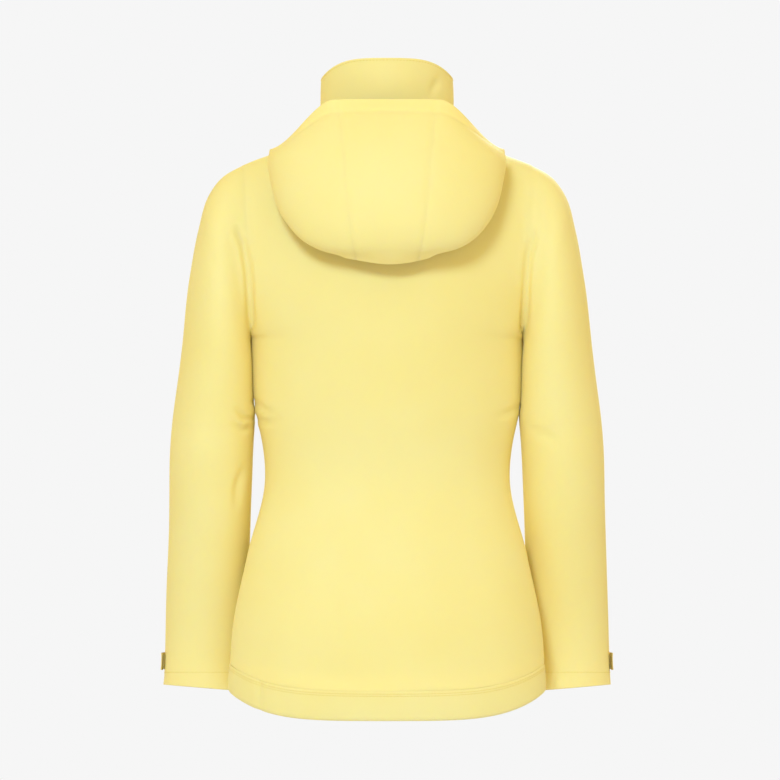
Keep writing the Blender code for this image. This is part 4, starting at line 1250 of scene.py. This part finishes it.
def fixNormals(mesh, sharp=None):
    bm = bmesh.new()
    bm.from_mesh(mesh)
    bmesh.ops.recalc_face_normals(bm, faces=bm.faces)
    bm.to_mesh(mesh)
    bm.free()
    if sharp is not None:
        mesh.shade_smooth()
        mesh.set_sharp_from_angle(angle=math.radians(sharp))


def shapedBar(name, outline, base, alongX, alongY, alongZ, low, high, bevel, material, body):
    # a plate cut to an outline of (x, y) points, with softened edges
    points, count = [], len(outline)
    for level in (low, high):
        points += [base + alongX * x + alongY * y + alongZ * level for x, y in outline]
    faces = [list(range(count))[::-1], [count + i for i in range(count)]]
    faces += [(i, (i + 1) % count, count + (i + 1) % count, count + i) for i in range(count)]
    mesh = bpy.data.meshes.new(name)
    mesh.from_pydata([tuple(p + toWorld) for p in points], [], faces)
    fixNormals(mesh, 35)
    obj = addPiece(name, mesh, material, body)
    soften = obj.modifiers.new("soften", "BEVEL")
    soften.width, soften.segments = bevel, 3
    soften.limit_method, soften.angle_limit = "ANGLE", math.radians(50)
    return obj


def makeSlider(name, node, top, run, out, surface, width, length, body, pullBody):
    # a die-cast slider with waisted sides and a bridge, and the puller that hangs from it
    way = run.cross(out)
    high = top + out * surface
    middle = high - run * (length * 0.5)
    outline = [(x * width, y * length) for x, y in sliderCut["plate"]]
    slider = shapedBar(
        name + "Slider", outline, middle, way, run, out, 0.0005, 0.0022, sliderCut["bevel"], castMetal, body
    )
    bridge = [(y * length, 0.0020 + z * 0.0016) for y, z in sliderCut["bridge"]]
    shapedBar(name + "Bridge", bridge, middle, run, out, way, -0.0006, 0.0006, 0.0002, castMetal, body)
    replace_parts(slider, node + "_slider")
    thick, bevel = sliderCut["pullThick"], sliderCut["bevel"]
    hinge = high - run * (length * 0.25) + out * (sliderCut["pullRise"] + thick / 2)
    pull = length * sliderCut["pullShare"]
    grip = [(x * width, y * pull) for x, y in sliderCut["grip"]]
    puller = shapedBar(
        name + "Puller", grip, hinge, way, run, out, -thick / 2, thick / 2, bevel, castMetal, pullBody
    )
    ribHalf, ribHigh = 0.22 * width, pull * 0.035
    ribLow, ribTop = thick / 2 - 0.0001, thick / 2 + 0.0003
    for k in range(sliderCut["ribs"]):
        y = -pull * (0.55 + 0.1 * k)
        rib = [(-ribHalf, y), (ribHalf, y), (ribHalf, y - ribHigh), (-ribHalf, y - ribHigh)]
        shapedBar(
            f"{name}PullerRib{k}", rib, hinge, way, run, out, ribLow, ribTop, 0.0001, castMetal, pullBody
        )
    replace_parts(puller, node + "_puller")


def makeMainZip():
    foot, head = zipPoint(trimCut["zipFoot"]), zipPoint(cut["backLength"] + trimCut["zipHead"])
    length = (head - foot).length
    for tag, side in sides:
        grid = []
        for r in range(241):
            base = foot.lerp(head, r / 240)
            row = [
                base + across * (
                    side * mix(0.0006, 0.0120, c / 8)
                ) - zipOut * (0.0023 + 0.00012 * math.cos(c * math.pi)) for c in range(9)
            ]
            grid.append(row)
        tape = clothGrid("zipTape" + tag, wovenTape, grid, 0.0009, "jacket", turn=side < 0)
        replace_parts(tape, "zip_tape_" + tag)
        makeTeeth(
            "zipTeeth" + tag, foot, zipRun, zipOut, side, length, "jacket", offset=0.0 if side > 0 else 0.5
        )
    makeSlider(
        "mainZip", "main_zip", zipPoint(cut["backLength"] + trimCut["zipHead"] - 0.004), zipRun, zipOut,
        trimCut["teethOut"], 0.0095, 0.013, "main_zip_slider", "main_zip_puller"
    )
    front = trimCut["tapeBack"] + 0.0004
    guard = stripGrid(
        "chinGuard", liningCloth, zipPoint(neckFrontZ + 0.004), zipPoint(cut["backLength"] + 0.050), 0.013,
        front, 0.0012, rows=30
    )
    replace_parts(guard, "chin_guard")
    flap = stripGrid(
        "stormFlap", shellCloth, zipPoint(trimCut["zipFoot"] + 0.030), zipPoint(neckFrontZ - 0.030), 0.024,
        front + 0.0012, 0.0012, wave=0.0012
    )
    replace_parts(flap, "storm_flap")


def pocketLine(side):
    lowU, lowV = trimCut["pocketLow"]
    highU, highV = trimCut["pocketHigh"]
    low, high = bodyPoint(-1, lowU, lowV), bodyPoint(-1, highU, highV)
    run = (high - low).normalized()
    middle, v = (lowU + highU) / 2, (lowV + highV) / 2
    tangent = bodyPoint(-1, middle + 0.05, v) - bodyPoint(-1, middle - 0.05, v)
    out = run.cross(tangent).normalized()
    out = out if out.y < 0 else -out
    rise = 0.0
    for k in range(13):
        u, v = mix(lowU, highU, k / 12), mix(lowV, highV, k / 12)
        for shift in (-0.045, 0, 0.045):
            rise = max(rise, (bodyPoint(-1, u + shift, v) - low).dot(out))
    lift = out * (rise + cut["shellThick"] / 2 + 0.0004)
    return flipped(low + lift, side), flipped(high + lift, side), flipped(run, side), flipped(out, side)


def makeWelt(name, node, low, high, run, out, width, body, side=1):
    # two rolled lips of shell cloth with a coil between them
    way = run.cross(out)
    thick = trimCut["weltThick"]
    profile = []
    for k in range(33):
        s = k / 32 * 2 - 1
        lip = abs(math.sin(min(abs(s), 1) * math.pi)) ** 0.6
        profile.append((s * width / 2, mix(0.0003, thick - 0.0003, lip)))
    grid = []
    for r in range(61):
        base = low.lerp(high, r / 60)
        close = smooth(min(r, 60 - r) / 3)
        grid.append([base + way * x + out * mix(0.0003, z, close) for x, z in profile])
    lips = clothGrid(name + "Lips", shellCloth, grid, 0.0006, body, turn=side > 0)
    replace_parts(lips, node)
    start, length = low + run * coilCut["end"], (high - low).length - coilCut["end"] * 2
    for ending, hand, offset in (("Coil", 1, 0.0), ("CoilOther", -1, 0.5)):
        makeTeeth(
            name + ending, start, run, out, hand, length, body,
            wide=coilCut["wide"], high=coilCut["high"], sink=coilCut["sink"], offset=offset,
        )
    return lips


def makePockets():
    for tag, side in sides:
        low, high, run, out = pocketLine(side)
        makeWelt(
            "handPocket" + tag, "hand_pocket_zip_" + tag, low, high, run, out, trimCut["weltWidth"],
            "jacket", side
        )
        node = "hand_pocket_" + tag
        makeSlider(
            "handPocket" + tag, node, high - run * 0.004, run, out, trimCut["weltThick"], 0.0065, 0.009,
            node + "_slider", node + "_puller"
        )
        uEnds = (trimCut["pocketHigh"][0] - 0.18, trimCut["pocketLow"][0] + 0.10)
        vEnds = (trimCut["pocketLow"][1] - 0.02, trimCut["pocketHigh"][1] - 0.01)
        bag = bodyPatch(-1, uEnds, vEnds, 30, 40, cut["liningGap"] * 0.52, side)
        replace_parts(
            clothGrid("handPocketBag" + tag, liningCloth, bag, 0.0008, "jacket", turn=side < 0),
            "hand_pocket_bag_" + tag
        )
    turn = math.radians(trimCut["passTurn"])
    ends = []
    for t in (trimCut["passLowT"], trimCut["passHighT"]):
        x, y, half, depth = cuffRing(t, 0)
        z = mix(sleeveCut["elbowZ"] - 0.0082, sleeveCut["cuffZ"], t)
        ends.append(Vector((x + half * math.cos(turn), y + depth * math.sin(turn), z)))
    low, high = ends
    run = (high - low).normalized()
    out = Vector((math.cos(turn) / sleeveCut["elbow"][2], math.sin(turn) / sleeveCut["elbow"][3], 0))
    out = (out - run * out.dot(run)).normalized()
    lift = out * (trimCut["passLift"] + cut["shellThick"] / 2)
    makeWelt(
        "passPocket", "pass_pocket_zip", low + lift, high + lift, run, out, trimCut["weltWidth"] * 0.7,
        "lower_sleeve_L"
    )
    makeSlider(
        "passPocket", "pass_pocket", high + lift - run * 0.003, run, out, trimCut["weltThick"], 0.0060,
        0.008, "pass_pocket_slider", "pass_pocket_puller"
    )


print("linings, cuffs, zips and pockets")
makeLinings()
makeCuffs()
makeMainZip()
makePockets()


toWorldVector = Vector(toWorld)


def stitches(name, path, body, onto, lift=0.0001):
    # a run of lock stitches: short capsules of thread that dip at each hole
    points, faces = [], []
    pitch = trimCut["stitchLong"] + trimCut["stitchGap"]
    # the run is laid on the cloth as built, whatever its folds
    cloth = onto.data
    tree = BVHTree.FromPolygons([v.co for v in cloth.vertices], [tuple(f.vertices) for f in cloth.polygons])
    around = Vector(np.mean([tuple(p) for p in path], axis=0))
    laid = []
    for p in path:
        outward = Vector((p.x - around.x, p.y - around.y, 0)).normalized()
        hit = tree.ray_cast(Vector(p) + toWorldVector + outward * 0.012, -outward, 0.024)
        laid.append(hit[0] - toWorldVector if hit[0] else Vector(p))
    path = np.array([tuple(p) for p in laid])
    length = np.concatenate([[0], np.cumsum(np.linalg.norm(np.diff(path, axis=0), axis=1))])
    for k in range(int(length[-1] / pitch)):
        a, b = k * pitch, k * pitch + trimCut["stitchLong"]
        ends = [Vector([np.interp(x, length, path[:, i]) for i in range(3)]) for x in (a, b)]
        way = (ends[1] - ends[0]).normalized()
        out = Vector((ends[0].x - around.x, ends[0].y - around.y, 0)).normalized()
        aside = way.cross(out).normalized()
        first = len(points)
        radius = trimCut["threadRadius"]
        for t, fat, up in ((0, 0.3, -0.4), (0.18, 1, 0.5), (0.5, 1, 0.8), (0.82, 1, 0.5), (1, 0.3, -0.4)):
            middle = ends[0].lerp(ends[1], t) + out * (lift + radius * up)
            for q in range(6):
                angle = q * math.pi / 3
                points.append(middle + (aside * math.cos(angle) + out * math.sin(angle)) * radius * fat)
        for ring in range(4):
            for q in range(6):
                n = (q + 1) % 6
                faces.append(
                    (
                        first + ring * 6 + q, first + ring * 6 + n, first + ring * 6 + 6 + n,
                        first + ring * 6 + 6 + q
                    )
                )
        faces += [[first + q for q in range(6)][::-1], [first + 24 + q for q in range(6)]]
    mesh = bpy.data.meshes.new(name)
    mesh.from_pydata([tuple(p + toWorld) for p in points], [], faces)
    fixNormals(mesh, 60)
    return addPiece(name, mesh, thread, body)


def makeStitching():
    for level, v in (("", 0.905), ("Second", 0.83)):
        path = [hemPoint(mix(-0.985, 0.985, c / 700), cut["hemV"] * v, -0.0002) for c in range(701)]
        stitches("hemStitching" + level, path, "jacket", bpy.data.objects["hemCasing"])
    path = [collarPoint(mix(0.03, 0.97, c / 500), 0.965, -0.0004) for c in range(501)]
    stitches("collarStitching", path, "jacket", bpy.data.objects["collarShell"])
    for tag, side in sides:
        points = []
        for c in range(161):
            t = 0.94
            x, y, half, depth = cuffRing(t, 0.0007)
            z = mix(sleeveCut["elbowZ"], sleeveCut["cuffZ"], t)
            angle = 2 * math.pi * c / 160
            points.append(
                Vector(
                    (
                        (x + half * math.cos(angle)) * side, y + depth * math.sin(angle),
                        z + 0.05 * depth * math.sin(angle)
                    )
                )
            )
        stitches(
            "cuffStitching" + tag, points, "lower_sleeve_" + tag, bpy.data.objects["lowerSleeveShell" + tag]
        )


def dressFrameParts():
    # cords, locks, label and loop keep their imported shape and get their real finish
    finishes = {
        "hang_loop": braidedCord, "hem_drawcord": braidedCord, "hood_drawcord": braidedCord,
        "neck_label": labelCloth,
    }
    for tag, side in sides:
        for place in ("hem", "hood"):
            finishes[f"{place}_cord_lock_{tag}"] = mouldedLock
            finishes[f"{place}_cord_lock_{tag}_button"] = mouldedLock
    for node, material in finishes.items():
        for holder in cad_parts[node].material_slots:
            holder.material = material


print("stitching and finishes")
makeStitching()
dressFrameParts()


# each cloth laid flat, taken from its built surface, in metres: width, length
# and, where it isn't a rectangle, the area of the cut
flatCloths = {
    "backShell": ((0.490, 0.665), 0.262, "hung", ("backLining",)),
    "collarShell": ((0.460, 0.105), 0.040, "hung", ("backShell",)),
    "collarFacing": ((0.430, 0.100), 0.031, "hung", ("collarShell",)),
    "hemCasing": ((1.005, 0.071), None, "hung", ("backShell", "frontShellL", "frontShellR")),
    "hoodBrim": ((0.343, 0.021), 0.006, "hung", ("hoodLining",)),
    "hoodCenter": ((0.115, 0.209), 0.0196, "hung", ("hoodBrim",)),
    "hoodLining": ((0.318, 0.190), 0.046, "hung", ("hoodBrim",)),
    "hoodBack": ((0.231, 0.118), 0.0178, "laid", ("backShell",)),
    "backLining": ((0.440, 0.665), 0.242, "hung", ("collarFacing",)),
    "powderSkirt": ((0.826, 0.121), 0.084, "gathered", ("backLining", "frontLiningL", "frontLiningR")),
    "stormFlap": ((0.048, 0.550), None, "hung", ("frontShellL",)),
    "chinGuard": ((0.026, 0.126), None, "folded", ("collarShell",)),
    "passPocketLips": ((0.0106, 0.111), None, "folded", ("lowerSleeveShellL",)),
}
pairedCloths = {
    "frontShell": ((0.240, 0.665), 0.127, "hung", ("frontLining",)),
    "upperSleeveShell": ((0.330, 0.340), 0.079, "hung", ("backShell",)),
    "lowerSleeveShell": ((0.360, 0.375), 0.103, "hung", ("upperSleeveShell",)),
    "hoodSide": ((0.134, 0.209), 0.0176, "hung", ("hoodCenter",)),
    "frontLining": ((0.207, 0.640), 0.096, "hung", ("collarFacing",)),
    "sleeveLining": ((0.330, 0.316), 0.069, "hung", ("upperSleeveShell",)),
    "cuffGaiter": ((0.263, 0.091), 0.021, "gathered", ("lowerSleeveShell",)),
    "handPocketBag": ((0.097, 0.152), 0.0132, "hung", ("frontShell",)),
    "zipTape": ((0.0116, 0.736), None, "hung", ("frontShell",)),
    "loopPatch": ((0.070, 0.0162), None, "laid", ("lowerSleeveShell",)),
}


def declareCloths():
    known = dict(flatCloths)
    for stem, (flat, area, held, under) in pairedCloths.items():
        for tag, side in sides:
            known[stem + tag] = (flat, area, held, tuple(u if u in flatCloths else u + tag for u in under))
    for tag, side in sides:
        known[f"handPocket{tag}Lips"] = ((0.0146, 0.146), None, "folded", ("frontShell" + tag,))


declareCloths()
